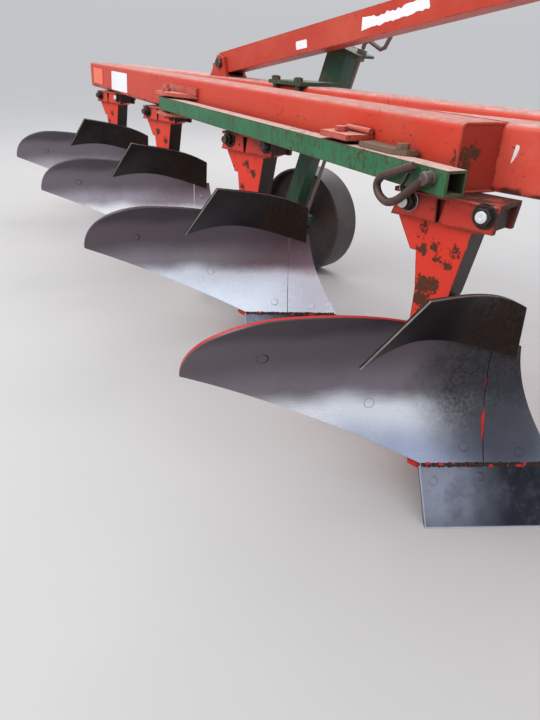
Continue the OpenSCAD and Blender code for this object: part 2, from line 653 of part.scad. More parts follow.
// Packer arm beside the main beam, on its pivot bracket
arm_w0 = -arm_gap - arm_side;
arm_mid_w = -arm_gap - arm_side / 2;
arm_top = arm_z + arm_side;
arm_front = -30;
arm_rear = -arm_pivot - 25;
arm_plate_t = 12;
arm_room = 7;
module arm_bracket() color(paint) in_frame() along_main() {
    for (z = [arm_z - arm_room - arm_plate_t, arm_top + arm_room]) translate([0, 0, z])
        linear_extrude(height = arm_plate_t) polygon([[-arm_pivot - (z > arm_z ? 70 : 20), 0],
            [-arm_pivot + (z > arm_z ? 224 : 150), 0], [-arm_pivot + 70, arm_w0 - 3], [-arm_pivot - 45, arm_w0 - 5]]);
    translate([-arm_pivot - 68, -10, arm_top + arm_room + arm_plate_t - 1]) cube([290, 10, 24]);
    translate([-arm_pivot, arm_mid_w, arm_z - arm_room - arm_plate_t - 12])
        cylinder(r = arm_pin_r, h = arm_side + 2 * arm_room + 2 * arm_plate_t + 36, $fn = 48);
    for (z = [arm_z - arm_room - arm_plate_t - 10, arm_top + arm_room + arm_plate_t])
        translate([-arm_pivot, arm_mid_w, z]) cylinder(r = 18, h = 11, $fn = 6);
    translate([-arm_pivot, arm_mid_w, arm_z - arm_room]) cylinder(r = 18, h = arm_room - 0.3, $fn = 32);
}

// Catch above the arm: a plate with a bolt and a bar along the beam's face
module arm_catch() color(paint) in_frame() along_main() {
    translate([0, 0, arm_top + arm_room]) linear_extrude(height = arm_plate_t)
        polygon([[-474, 0], [-345, 0], [-348, arm_w0 - 1], [-452, arm_w0 - 1]]);
    translate([-414, -40, arm_top + arm_room + arm_plate_t]) cylinder(r = 14, h = 11, $fn = 6);
    translate([-437, -9, arm_top + arm_room + arm_plate_t + 6]) rotate([0, 90, 0])
        cylinder(r = 7, h = 92, $fn = 24);
}

module packer_arm() color(green) in_frame() along_main() difference() {
    translate([arm_rear, arm_w0, arm_z]) cube([arm_front - arm_rear, arm_side, arm_side]);
    translate([arm_rear + arm_wall, arm_w0 + arm_wall, arm_z + arm_wall])
        cube([arm_front - arm_rear, arm_side - 2 * arm_wall, arm_side - 2 * arm_wall]);
    translate([-arm_pivot, arm_mid_w, arm_z - 1]) cylinder(r = arm_pin_r + 0.08, h = arm_side + 2, $fn = 48);
}

module arm_lock_plate() color("rosybrown") in_frame() along_main() {
    translate([0, 0, arm_top]) linear_extrude(height = 10)
        polygon([[-325, arm_w0 + 17], [-335, -9], [-184, -9], [-186, -36], [-212, arm_w0 + 17]]);
    translate([-206, -30, arm_top + 10]) cylinder(r = 13, h = 11, $fn = 6);
}

// Bent rod through points: its lengths overlap a little at each bend, and every second one is thinner
module bent_rod(pts, r) for (i = [0:len(pts) - 2]) {
    d = unit(pts[i + 1] - pts[i]) * r * 0.45;
    rod(i > 0 ? pts[i] - d : pts[i], i < len(pts) - 2 ? pts[i + 1] + d : pts[i + 1], r - 0.35 * (i % 2));
}

// Hook on the arm's outer face: its lower run is welded on, its mouth is open to the front
hook_w = arm_w0 - hook_r - 7;
// Middle line of the hook: forward along the beam, height above the arm's underside
hook_line = [[-69, 26], [-136, -24], [-166, -34], [-193, -25], [-203, -7], [-189, 9], [-162, 20], [-102, 43]];
module arm_hook() color("saddlebrown") in_frame() along_main() {
    bent_rod([for (p = hook_line) [p[0], hook_w, arm_z + p[1]]], hook_r);
    translate([hook_line[0][0], arm_w0, arm_z + hook_line[0][1]]) rotate([90, 0, 0])
        cylinder(r = hook_r + 5, h = arm_w0 - hook_w + hook_r - 2, $fn = 32);
}
// Flat spring across the hook's mouth, from its upper end to its lower run
latch_w = 8;
latch_t = 2;
latch_line = [[-114, 29], [-121, 14], [-131, 1], [-127, -6]];
module hook_latch() color(steel) in_frame() along_main()
    translate([0, hook_w + latch_w / 2, arm_z]) rotate([90, 0, 0]) linear_extrude(height = latch_w)
        polygon(concat(latch_line, [for (i = [len(latch_line) - 1:-1:0]) latch_line[i] + [latch_t, 0]]));

// Depth wheel: guide tube clamped to the inner beam, leg, screw and wheel
guide_low = (under_beam - wheel_r) / cos(wheel_rake) - guide_hang;
leg_top_s = guide_low + guide_l - 8 - wheel_travel;
wheel_y0 = wheel_leg_y + wheel_leg_side / 2 + 30;
module on_wheel_leg() translate([-wheel_x, wheel_leg_y, wheel_r]) rotate([0, wheel_rake, 0]) children();

module wheel_guide() color(green) in_frame() on_wheel_leg() {
    h = guide_side / 2;
    bore = wheel_leg_side / 2 + guide_room;
    difference() {
        translate([-h, -h, guide_low]) cube([guide_side, guide_side, guide_l]);
        translate([-bore, -bore, guide_low - 1]) cube([2 * bore, 2 * bore, guide_l + 2]);
    }
    difference() {
        translate([-h - 4, -h - 4, guide_low + guide_l]) cube([guide_side + 62, guide_side + 8, 8]);
        translate([screw_off, 0, guide_low]) cylinder(r = screw_r + 0.5, h = guide_l + 50, $fn = 32);
    }
}

screw_off = guide_side / 2 + 32;
nut_s = 62;
module wheel_screw() color(steel) in_frame() on_wheel_leg() {
    top = guide_low + guide_l + 8;
    translate([screw_off, 0, top + 0.3]) cylinder(r = 17, h = 14, $fn = 32);
    translate([screw_off, 0, top - 8.3 - 14]) cylinder(r = 17, h = 14, $fn = 32);
    bent_rod([[screw_off, 0, nut_s - 30], [screw_off, 0, top + 34], [screw_off + 12, 0, top + 46],
        [screw_off + 68, 0, top + 38], [screw_off + 82, 0, top + 48], [screw_off + 94, 0, top + 116]], screw_r);
}

module wheel_leg() color(green) in_frame() {
    on_wheel_leg() {
        h = wheel_leg_side / 2;
        difference() {
            translate([-h, -h, -38]) cube([wheel_leg_side, wheel_leg_side, leg_top_s + 38]);
            translate([-h + 6, -h + 6, 60]) cube([wheel_leg_side - 12, wheel_leg_side - 12, leg_top_s]);
            rotate([90, 0, 0]) cylinder(r = axle_r + 0.05, h = 200, center = true, $fn = 48);
        }
        difference() {
            translate([h - 1, -20, nut_s - 20]) cube([screw_off - h + 22, 40, 40]);
            translate([screw_off, 0, 0]) cylinder(r = screw_r + 0.5, h = 200, $fn = 32);
        }
    }
    translate([-wheel_x, wheel_leg_y, wheel_r]) rotate([90, 0, 0]) {
        translate([0, 0, -wheel_leg_side / 2 - 30 - wheel_w + 18])
            cylinder(r = axle_r, h = wheel_leg_side + 30 + wheel_w - 18 + 6, $fn = 48);
        translate([0, 0, wheel_leg_side / 2]) cylinder(r = 20, h = 16, $fn = 32);
        translate([0, 0, -wheel_leg_side / 2 - 24]) difference() {
            cylinder(r = axle_r + 8, h = 24, $fn = 32);
            translate([0, 0, -1]) cylinder(r = axle_r - 1, h = 26, $fn = 32);
        }
        translate([0, 0, -wheel_leg_side / 2 - 30 - wheel_w + 6]) cylinder(r = 22, h = 12, $fn = 6);
    }
}

hub_r = 46;
module wheel_spin_axis() translate([-wheel_x, wheel_y0, wheel_r]) rotate([-90, 0, 0]) children();
module wheel_disc() color("darkgray") in_frame() wheel_spin_axis() rotate_extrude($fn = 72)
    polygon([[axle_r + 0.05, 0], [hub_r, 0], [hub_r, 26], [hub_r + 40, 44],
        [wheel_r - rim_t - 30, 58], [wheel_r - rim_t, 58], [wheel_r - rim_t, 64], [wheel_r - rim_t - 32, 64],
        [hub_r + 36, 51], [hub_r, 34], [hub_r, wheel_w - 30], [axle_r + 0.05, wheel_w - 30]]);
module wheel_rim() color("gray") in_frame() wheel_spin_axis() rotate_extrude($fn = 96)
    polygon([[wheel_r - rim_t, 0], [wheel_r - 2, 0], [wheel_r, 2], [wheel_r, wheel_w - 2],
        [wheel_r - 2, wheel_w], [wheel_r - rim_t, wheel_w]]);

// Clamp: plates and four long bolts around the inner beam, and the pad for the guide tube
clamp_x = 1075;
clamp_l = 200;
clamp_t = 12;
clamp_bolt_r = 10;
clamp_far_y = inner_beam_y + clamp_x * tan(inner_angle) + beam_w / cos(inner_angle);
module wheel_clamp() color(green) in_frame() difference() {
    union() {
        along_inner() translate([-clamp_x / cos(inner_angle), 0, 0]) {
            for (z = [beam_top, under_beam - clamp_t]) translate([-clamp_l / 2, -26, z])
                cube([clamp_l, beam_w + 42, clamp_t]);
            translate([-clamp_l / 2, beam_w, under_beam - clamp_t]) cube([clamp_l, 16, beam_h + 2 * clamp_t]);
            for (x = [-clamp_l / 2 + 30, clamp_l / 2 - 30]) translate([x, -14, under_beam - 26]) {
                cylinder(r = clamp_bolt_r, h = beam_h + 52, $fn = 24);
                for (h = [2, beam_h + 38]) translate([0, 0, h]) cylinder(r = 16, h = 12, $fn = 6);
            }
        }
        translate([-clamp_x - 40, clamp_far_y - 25, under_beam - clamp_t])
            cube([130, wheel_leg_y - guide_side / 2 - clamp_far_y + 25, beam_h + 2 * clamp_t]);
    }
    along_inner() translate([-big / 2, 0, under_beam]) cube([big, beam_w, beam_h]);
    along_inner() translate([-big / 2, -big - 26, 0]) cube([big, big, big]);
    translate([-big / 2, wheel_leg_y - guide_side / 2, 0]) cube([big, big, big]);
}

// Parking stand at the front beam's left end
stand_wall = 8;
stand_foot = 140;
stand_handle = 110;
stand_x = frame_front + beam_w / 2;
stand_y = hitch_y + front_beam_l / 2 + stand_side / 2 + stand_room + stand_wall;
module stand_sleeve() color(paint) in_frame() translate([stand_x, stand_y, under_beam - 40]) {
    i = stand_side / 2 + stand_room;
    o = i + stand_wall;
    difference() {
        translate([-o, -o, 0]) cube([2 * o, 2 * o, beam_h + 80]);
        translate([-i, -i, -1]) cube([2 * i, 2 * i, beam_h + 82]);
    }
    translate([0, i - stand_room + 0.3, beam_h / 2 + 40]) rotate([-90, 0, 0]) {
        cylinder(r = stand_screw_r, h = 70, $fn = 32);
        translate([0, 0, stand_wall + 0.2]) cylinder(r = 17, h = 12, $fn = 6);
        translate([0, 0, 60]) rotate([90, 0, 0]) cylinder(r = 6, h = stand_handle, center = true, $fn = 24);
    }
}
module stand_leg() color(paint) in_frame() translate([stand_x, stand_y, 0]) {
    h = stand_side / 2;
    translate([-h, -h, 8]) difference() {
        cube([stand_side, stand_side, stand_l - 8]);
        translate([5, 5, 6]) cube([stand_side - 10, stand_side - 10, stand_l]);
    }
    translate([-stand_foot / 2, -stand_foot / 2, 0]) cube([stand_foot, stand_foot, 10]);
}

main_beam();
side_beam();
inner_beam();
front_beam();
frame_brace();
mast();
hitch_lugs();
hitch_shaft();
strut();
strut_foot();
strut_pins();
leg_bracket(0);  // leg_bracket_0
leg_bracket(1);  // leg_bracket_1
leg_bracket(2);  // leg_bracket_2
leg_bracket(3);  // leg_bracket_3
leg(0);  // leg_0
leg(1);  // leg_1
leg(2);  // leg_2
leg(3);  // leg_3
leg_bolts();
frogs();
share(0);  // share_0
share(1);  // share_1
share(2);  // share_2
share(3);  // share_3
moldboard(0);  // moldboard_0
moldboard(1);  // moldboard_1
moldboard(2);  // moldboard_2
moldboard(3);  // moldboard_3
shin_pieces();
trashboard(0);  // trashboard_0
trashboard(1);  // trashboard_1
trashboard(2);  // trashboard_2
trashboard(3);  // trashboard_3
landsides();
tail_braces();
arm_bracket();
arm_catch();
packer_arm();
arm_lock_plate();
arm_hook();
hook_latch();
wheel_clamp();
wheel_guide();
wheel_screw();
wheel_leg();
wheel_disc();
wheel_rim();
stand_sleeve();
stand_leg();
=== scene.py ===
# %% [markdown]
# # A four-furrow moldboard plough
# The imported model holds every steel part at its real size, and this lesson gives the parts their looks:
# sun-faded red paint, boards that the soil has polished, near-black plates, rust and dust. All lengths
# are in metres. First the model is loaded, because every later piece takes its place from it.

# %% Load the plough
import math
import random

import bmesh
import bpy
from mathutils import Matrix, Vector


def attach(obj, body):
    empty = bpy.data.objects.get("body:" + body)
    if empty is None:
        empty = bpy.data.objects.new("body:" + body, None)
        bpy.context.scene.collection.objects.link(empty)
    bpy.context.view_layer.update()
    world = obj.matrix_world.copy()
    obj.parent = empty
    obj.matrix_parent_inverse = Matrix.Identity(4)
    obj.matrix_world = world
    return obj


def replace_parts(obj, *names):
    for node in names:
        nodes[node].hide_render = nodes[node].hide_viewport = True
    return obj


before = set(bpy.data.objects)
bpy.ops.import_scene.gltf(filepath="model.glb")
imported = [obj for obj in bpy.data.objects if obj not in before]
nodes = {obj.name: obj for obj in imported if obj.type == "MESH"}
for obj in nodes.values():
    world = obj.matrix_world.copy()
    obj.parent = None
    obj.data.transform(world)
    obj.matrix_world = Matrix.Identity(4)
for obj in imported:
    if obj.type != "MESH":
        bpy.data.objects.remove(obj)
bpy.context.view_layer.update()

scene = bpy.context.scene

# %% [markdown]
# ## The camera
# The photographer stood at the front right corner, a little above the beam, and looked back along the
# row of boards. A camera in Blender looks along its own -Z axis, so three directions turn it: right, up
# and back. They were worked out from the plough's tube edges and bolts before this lesson began.

# %% Camera
VIEW_PLACE = Vector((1.5765462, -1.4661767, 0.8453726))
VIEW_RIGHT = Vector((0.72588252, 0.68634287, 0.04503373))
VIEW_UP = Vector((-0.33971565, 0.3008161, 0.89112454))
VIEW_BACK = Vector((0.5980701, -0.66215039, 0.45151856))
FOCAL_LENGTH = 40.3637

view = bpy.data.cameras.new("camera")
view.sensor_fit = "HORIZONTAL"
view.sensor_width = 36
view.lens = FOCAL_LENGTH
view.clip_start = 0.02
view.clip_end = 60
camera = bpy.data.objects.new("camera", view)
scene.collection.objects.link(camera)
turned = Matrix((VIEW_RIGHT, VIEW_UP, VIEW_BACK)).transposed().to_4x4()
camera.matrix_world = Matrix.Translation(VIEW_PLACE) @ turned
scene.camera = camera
scene.view_settings.view_transform = "Standard"
print("camera stands", round(VIEW_PLACE.length, 2), "m from the plough's middle")

# %% [markdown]
# ## Sums written as sums
# A finish in Blender is a graph of nodes. Wiring it by hand hides the idea, so one small class wraps a
# socket and turns +, - and * into Math nodes, and one method adds every other kind of node. A paint
# can then be written down almost as it is spoken: "dust, but only where the surface faces up".


# %% Sockets that add and multiply
class Wire:
    """One output socket. Arithmetic with numbers or other wires adds Math nodes."""

    def __init__(self, finish, socket):
        self.finish, self.socket = finish, socket

    def math(self, kind, first, second):
        return self.finish.node("ShaderNodeMath", {"operation": kind}, {0: first, 1: second})

    def __add__(self, other): return self.math("ADD", self, other)
    def __sub__(self, other): return self.math("SUBTRACT", self, other)
    def __rsub__(self, other): return self.math("SUBTRACT", other, self)
    def __mul__(self, other): return self.math("MULTIPLY", self, other)
    __radd__, __rmul__ = __add__, __mul__

    def floor_at(self, other): return self.math("MAXIMUM", self, other)
    def cap_at(self, other): return self.math("MINIMUM", self, other)


class Graph:
    """A node tree that grows by one call for each node."""

    def __init__(self, tree):
        self.tree = tree

    def node(self, kind, settings=(), sockets=(), out=0):
        """Adds a node: settings first, then values or wires for its sockets; out is the output to use."""
        made = self.tree.nodes.new(kind)
        for name, value in dict(settings).items():
            setattr(made, name, value)
        for name, value in dict(sockets).items():
            self.plug(made.inputs[name], value)
        return Wire(self, made.outputs[out])

    def plug(self, socket, value):
        if isinstance(value, Wire):
            self.tree.links.new(value.socket, socket)
        else:
            socket.default_value = value


print("classes made:", Wire.__name__, "and", Graph.__name__)

# %% [markdown]
# ## Colours and materials
# A colour that is picked from a screen is brighter than the light it stands for, so one function turns
# it into linear light. A finish is a node tree with one shader at its end. Most finishes here are layers,
# each laid over the ones before, as dust lies over paint and rust breaks through both.


# %% Colours and materials
def tone(red, green, blue):
    """A colour picked on a screen, 0 to 255, as the linear colour that a shader needs."""
    return tuple((c / 255 / 12.92) if c < 11 else ((c / 255 + 0.055) / 1.055) ** 2.4
                 for c in (red, green, blue)) + (1.0,)


class Finish(Graph):
    """A material with one Principled shader. Its surface coordinates are metres on the plough."""

    def __init__(self, name):
        self.material = bpy.data.materials.new(name)
        self.material.use_nodes = True
        super().__init__(self.material.node_tree)
        self.shader = self.tree.nodes["Principled BSDF"]
        self.cover = None

    def lay(self, colour, amount):
        """One more layer of colour over those that are there."""
        self.cover = blend(self, self.cover, colour, amount)

    def feed(self, **sockets):
        """Sets the shader's sockets: base_color=..., roughness=..., and so on."""
        for name, value in sockets.items():
            self.plug(self.shader.inputs[name.replace("_", " ").title().replace("Ior", "IOR")], value)
        return self.material


print("a white screen pixel in linear light:", tone(255, 255, 255))

# %% [markdown]
# ## Textures in metres
# Grain has a size: paint flakes are millimetres, dust patches are hands wide. Noise on the Object
# coordinates is measured in metres here, so a scale of 100 gives spots of about a centimetre. The
# coordinates ride with the part, so the rust doesn't swim when the wheel is wound up.


# %% Places and spots
GENERATED, NORMAL, OBJECT = 0, 1, 3  # outputs of the Texture Coordinate node
NUMBER = 1  # output of Vector Math and Ambient Occlusion that is a plain number
TRUE_NORMAL = 1  # output of the Geometry node
AMOUNT, UNDER, OVER, MIXED = 0, 6, 7, 2  # sockets of a Mix node for colours, and its output


def surface(finish, stretch=None):
    """Object coordinates in metres. A stretch below 1 draws the texture out along that axis."""
    here = finish.node("ShaderNodeTexCoord", out=OBJECT)
    if not stretch:
        return here
    return finish.node("ShaderNodeVectorMath", {"operation": "MULTIPLY"}, {0: here, 1: stretch})


def apart(finish, place):
    """How far the surface is from that place, in metres."""
    return finish.node("ShaderNodeVectorMath", {"operation": "DISTANCE"}, {0: surface(finish), 1: place},
                       out=NUMBER)


def spots(finish, scale, detail=4.0, rough=0.55, stretch=None):
    """Soft random spots from 0 to 1, about 1 / scale metres wide."""
    return finish.node("ShaderNodeTexNoise", {}, {
        "Vector": surface(finish, stretch), "Scale": scale, "Detail": detail, "Roughness": rough})


def ramp(finish, value, low, high):
    """0 below low, 1 above high, and a smooth climb between them."""
    return finish.node("ShaderNodeMapRange", {"interpolation_type": "SMOOTHSTEP"}, {
        "Value": value, "From Min": low, "From Max": high})


def blend(finish, under, over, amount):
    """The colour over, laid on the colour under where amount is 1."""
    return finish.node("ShaderNodeMix", {"data_type": "RGBA"}, {
        AMOUNT: amount, UNDER: under, OVER: over}, out=MIXED)


print("spots at scale 160 are about", round(1000 / 160), "mm wide")

# %% [markdown]
# ## Corners, edges and faces
# Wear follows the shape: edges lose their paint first, dust lies on what faces up, and dirt stays in
# corners, where painted shade is laid with it. Blender can ask for each of these at every point of a surface,
# so no mask is painted by hand.
# A small rounding of the shading also takes the knife-sharp look off every cut edge.


# %% Edges, hollows and bumps
SOFT_CORNER = 0.0015


def rounded(finish, radius):
    """The surface's own direction, as if its corners were rounded by radius."""
    return finish.node("ShaderNodeBevel", {"samples": 4}, {"Radius": radius})


def edges(finish, radius):
    """1 on outer and inner corners, 0 on flats: how far the rounded normal leaves the true one."""
    true = finish.node("ShaderNodeNewGeometry", out=TRUE_NORMAL)
    same = finish.node("ShaderNodeVectorMath", {"operation": "DOT_PRODUCT"},
                       {0: rounded(finish, radius), 1: true}, out=NUMBER)
    return ramp(finish, 1.0 - same, 0.005, 0.16)


def split(finish, vector, axis):
    """One number of a vector: 0, 1 or 2 for X, Y or Z."""
    return finish.node("ShaderNodeSeparateXYZ", {}, {0: vector}, out=axis)


def facing(finish, axis):
    """1 where the surface faces along +X, +Y or +Z (axis 0, 1 or 2), -1 where it faces the other way."""
    return split(finish, finish.node("ShaderNodeTexCoord", out=NORMAL), axis)


def height(finish):
    """Metres above the origin of the part's own coordinates."""
    return split(finish, surface(finish), 2)


def hollows(finish, reach):
    """1 in corners and recesses, where dirt stays and painted shade is laid; 0 on open faces."""
    return 1.0 - finish.node("ShaderNodeAmbientOcclusion", {"samples": 4}, {"Distance": reach},
                             out=NUMBER)


def rough_up(finish, height, depth, radius=SOFT_CORNER):
    """A bump of that depth in metres, over corners that are rounded by radius."""
    return finish.node("ShaderNodeBump", {}, {
        "Height": height, "Distance": depth, "Strength": 1.0, "Normal": rounded(finish, radius)})


print("corners look rounded by", SOFT_CORNER * 1000, "mm")

# %% [markdown]
# ## Old farm paint
# Paint on a plough fades in the sun, gathers pale dust on top, and goes at the edges first. Rust starts
# in the chips and soil dries in the corners, and the corners are laid dark with painted shade as well. One
# function makes every painted finish from these layers, so the red and the green have the same history and
# differ only in colour and amounts.


# %% Paint
RUST, RUST_DARK = tone(112, 62, 40), tone(58, 36, 28)
SOIL, SOIL_PALE = tone(78, 56, 46), tone(140, 108, 94)
# near-black: dirt, and painted shade where it is laid in corners
GRIME_AND_SHADE = tone(38, 30, 26)


def paint(name, colour, faded, dust, dusty=0.8, chipped=0.5, soiled=0.3, gloss=0.38, front=None, runs=0.0,
          patches=0.0, marks=(), low_edge=None, corner=0.05, grime_and_shade=(0.62, 1.0), topsoil=0.0, edge=0.006):
    """Old paint in layers. dusty, chipped, soiled, runs, patches and topsoil are amounts from 0 to about 1;
    front is the colour and the strengths of soil and painted shade on faces that look forward; marks are
    (place, reach) of lost paint; low_edge is the heights between which mud thins out; corner and edge are
    reaches in metres; grime says how deep in a corner the dirt and painted shade start and where they are full."""
    f = Finish(name)
    mottle, fine = spots(f, 7, 5, 0.6), spots(f, 160, 3, 0.6)
    f.cover = blend(f, colour, faded, ramp(f, mottle + fine * 0.2, 0.45, 0.90))
    up = ramp(f, facing(f, 2), 0.45, 0.95)
    drift = up * ramp(f, spots(f, 20, 6, 0.65) + fine * 0.25, 0.26, 0.62) * dusty
    f.lay(dust, drift)
    # Soil: soft, in hollows and in a few broad stains
    deep = hollows(f, corner)
    soil = ramp(f, spots(f, 14, 6, 0.62) + deep * 0.35, 0.80 - 0.3 * soiled, 1.0 - 0.28 * soiled)
    f.lay(blend(f, SOIL, SOIL_PALE, spots(f, 60)), soil * min(1, 0.45 + soiled * 0.5))
    # painted shade with the dirt: corners and recesses are laid near-black
    f.lay(GRIME_AND_SHADE, ramp(f, deep + fine * 0.2, grime_and_shade[0], grime_and_shade[1]) * 0.88)
    if topsoil:
        clods = ramp(f, spots(f, 34, 6, 0.7), 0.36, 0.56)
        f.lay(blend(f, GRIME_AND_SHADE, SOIL, fine), up * clods * topsoil)
    if runs:  # rust that the rain has drawn down the sides
        streaks = ramp(f, spots(f, 1, 5, 0.65, (95, 95, 16)), 0.52, 0.66) * (1.0 - up) * runs
        f.lay(blend(f, RUST_DARK, SOIL, fine), streaks)
    if low_edge:  # mud that hangs on along the foot of a tube
        foot = 1.0 - ramp(f, height(f), *low_edge)
        mud = ramp(f, spots(f, 24, 6, 0.7) + foot * 0.30, 0.72, 0.82)
        f.lay(blend(f, GRIME_AND_SHADE, SOIL, fine), mud * 0.8)
    if front:  # faces that look forward are laid darker: soil on the legs and brackets, painted shade on the beam's end
        front_colour, thick, smeared = front
        ahead = ramp(f, facing(f, 0), 0.55, 0.85)
        smear = ramp(f, spots(f, 9, 6, 0.65), 0.30, 0.55)
        f.lay(front_colour, ahead * thick)
        f.lay(GRIME_AND_SHADE, ahead * smear * smeared)
    # Chips with crisp outlines: pits, lost patches and bare edges
    ragged = spots(f, 66, 6, 0.75)
    bare = ramp(f, spots(f, 26, 4, 0.62), 0.745 - 0.12 * patches, 0.757 - 0.12 * patches)
    worn = edges(f, edge) * ramp(f, spots(f, 60, 5, 0.7), 0.56 - 0.22 * chipped, 0.68 - 0.2 * chipped)
    crowd = spots(f, 6, 3) * 0.35 - 0.175
    pits = ramp(f, spots(f, 85, 6, 0.75) + crowd, 0.705 - 0.08 * chipped, 0.720 - 0.08 * chipped)
    bare = bare.floor_at(worn).floor_at(pits)
    for place, reach in marks:
        bare = bare.floor_at(ramp(f, ragged * 0.075 - 0.0375 - apart(f, place), -reach, 0.0012 - reach))
    f.lay(blend(f, RUST_DARK, RUST, spots(f, 110, 3)), bare)
    rough = ramp(f, mottle, 0.2, 0.9) * 0.12 + (gloss - 0.04) + drift * 0.4 + bare * 0.35 + soil * 0.3
    lumps = fine * 0.18 + soil * spots(f, 260, 4) * 1.2 + drift * 0.2 - bare * 0.9
    return f.feed(base_color=f.cover, roughness=rough.cap_at(0.95), normal=rough_up(f, lumps, 0.0006),
                  specular_ior_level=0.3)


print("rust in linear light:", [round(part, 3) for part in RUST[:3]])

# %% [markdown]
# ## The paints of this plough
# The frame was painted once, and each part has aged in its own way. The tubes lie open to the sun and
# carry dust, the brackets sit in the dirt, and the backs of the boards never see light. The packer arm
# comes from another machine, so it is green.

# %% Reds and greens
BEAM_LOW, BEAM_HIGH = 0.627, 0.752
MUDDY = (BEAM_LOW - 0.001, BEAM_LOW + 0.038)
# the beam's forward faces take the front tone: painted shade
BEAM_RED = {"colour": tone(200, 56, 34), "faded": tone(200, 74, 50), "dust": tone(210, 156, 142),
            "dusty": 0.8, "topsoil": 0.30, "soiled": 0.2, "gloss": 0.46,
            "front": (tone(176, 56, 40), 0.8, 0.25), "low_edge": MUDDY}
red_beam = paint("red_paint_beam", chipped=0.6, **BEAM_RED)
red_pale = paint("red_paint_faded", tone(216, 74, 56), tone(216, 98, 80), tone(222, 172, 160),
                 dusty=0.95, chipped=0.6, soiled=0.22, gloss=0.46, low_edge=MUDDY, topsoil=0.35)
red_strut = paint("red_paint_strut", tone(188, 60, 42), tone(198, 82, 62), tone(204, 130, 112),
                  dusty=0.6, chipped=0.5, soiled=0.15, gloss=0.46)
# the brackets' inner faces and corners are laid near-black: dirt and painted shade
red_bracket = paint("red_paint_bracket", tone(218, 60, 44), tone(208, 74, 56), tone(150, 84, 70),
                    dusty=0.7, chipped=0.9, soiled=0.60, gloss=0.46, front=(tone(26, 19, 17), 0.96, 0.8),
                    patches=0.45, corner=0.10, grime_and_shade=(0.30, 0.62), topsoil=0.9, edge=0.010)
red_dusty = paint("red_paint_dusty", tone(190, 78, 64), tone(204, 116, 100), tone(206, 134, 118),
                  dusty=0.9, chipped=0.7, soiled=0.4, runs=0.3)
red_back = paint("red_paint_back", tone(200, 34, 30), tone(188, 44, 38), tone(196, 70, 62),
                 dusty=0.3, chipped=0.3, soiled=0.2)
red_soiled = paint("red_paint_soiled", tone(128, 40, 34), tone(110, 48, 42), tone(120, 92, 80),
                   dusty=0.8, chipped=0.8, soiled=0.9, patches=0.5)
# inside the arm's open tube the corners are laid dark: painted shade with the dirt
green_arm = paint("green_paint_arm", tone(34, 98, 60), tone(58, 116, 78), tone(204, 172, 160),
                  dusty=1.0, chipped=1.1, soiled=0.3, gloss=0.44, runs=0.7, corner=0.055,
                  grime_and_shade=(0.42, 0.70))
green_old = paint("green_paint_old", tone(34, 82, 60), tone(56, 96, 76), tone(132, 136, 118),
                  dusty=0.6, chipped=0.9, soiled=0.75, runs=0.9, patches=0.5)
print("paints made:", len(bpy.data.materials))

# %% [markdown]
# ## Steel that the soil has polished
# A moldboard is scoured by earth, so it shines like dull chrome with fine lines along the soil's way. The foot
# gets the most soil and is painted brightest, a painted reflection; the top is only brushed by it, stays brown
# and is painted darker. Metal takes its whole colour from what it mirrors, so the brown and the painted
# reflection go into the base colour.

# %% Scoured steel
SOIL_WAY = math.radians(47.6)


def drawn_lines(f, length, across):
    """Noise turned to the boards' level lines and drawn out along them."""
    turned = f.node("ShaderNodeVectorRotate", {"rotation_type": "Z_AXIS"}, {
        "Vector": surface(f), "Angle": -SOIL_WAY})
    drawn = f.node("ShaderNodeVectorMath", {"operation": "MULTIPLY"}, {0: turned, 1: (length, across, across)})
    return f.node("ShaderNodeTexNoise", {}, {"Vector": drawn, "Scale": 1.0, "Detail": 3.0, "Roughness": 0.6})


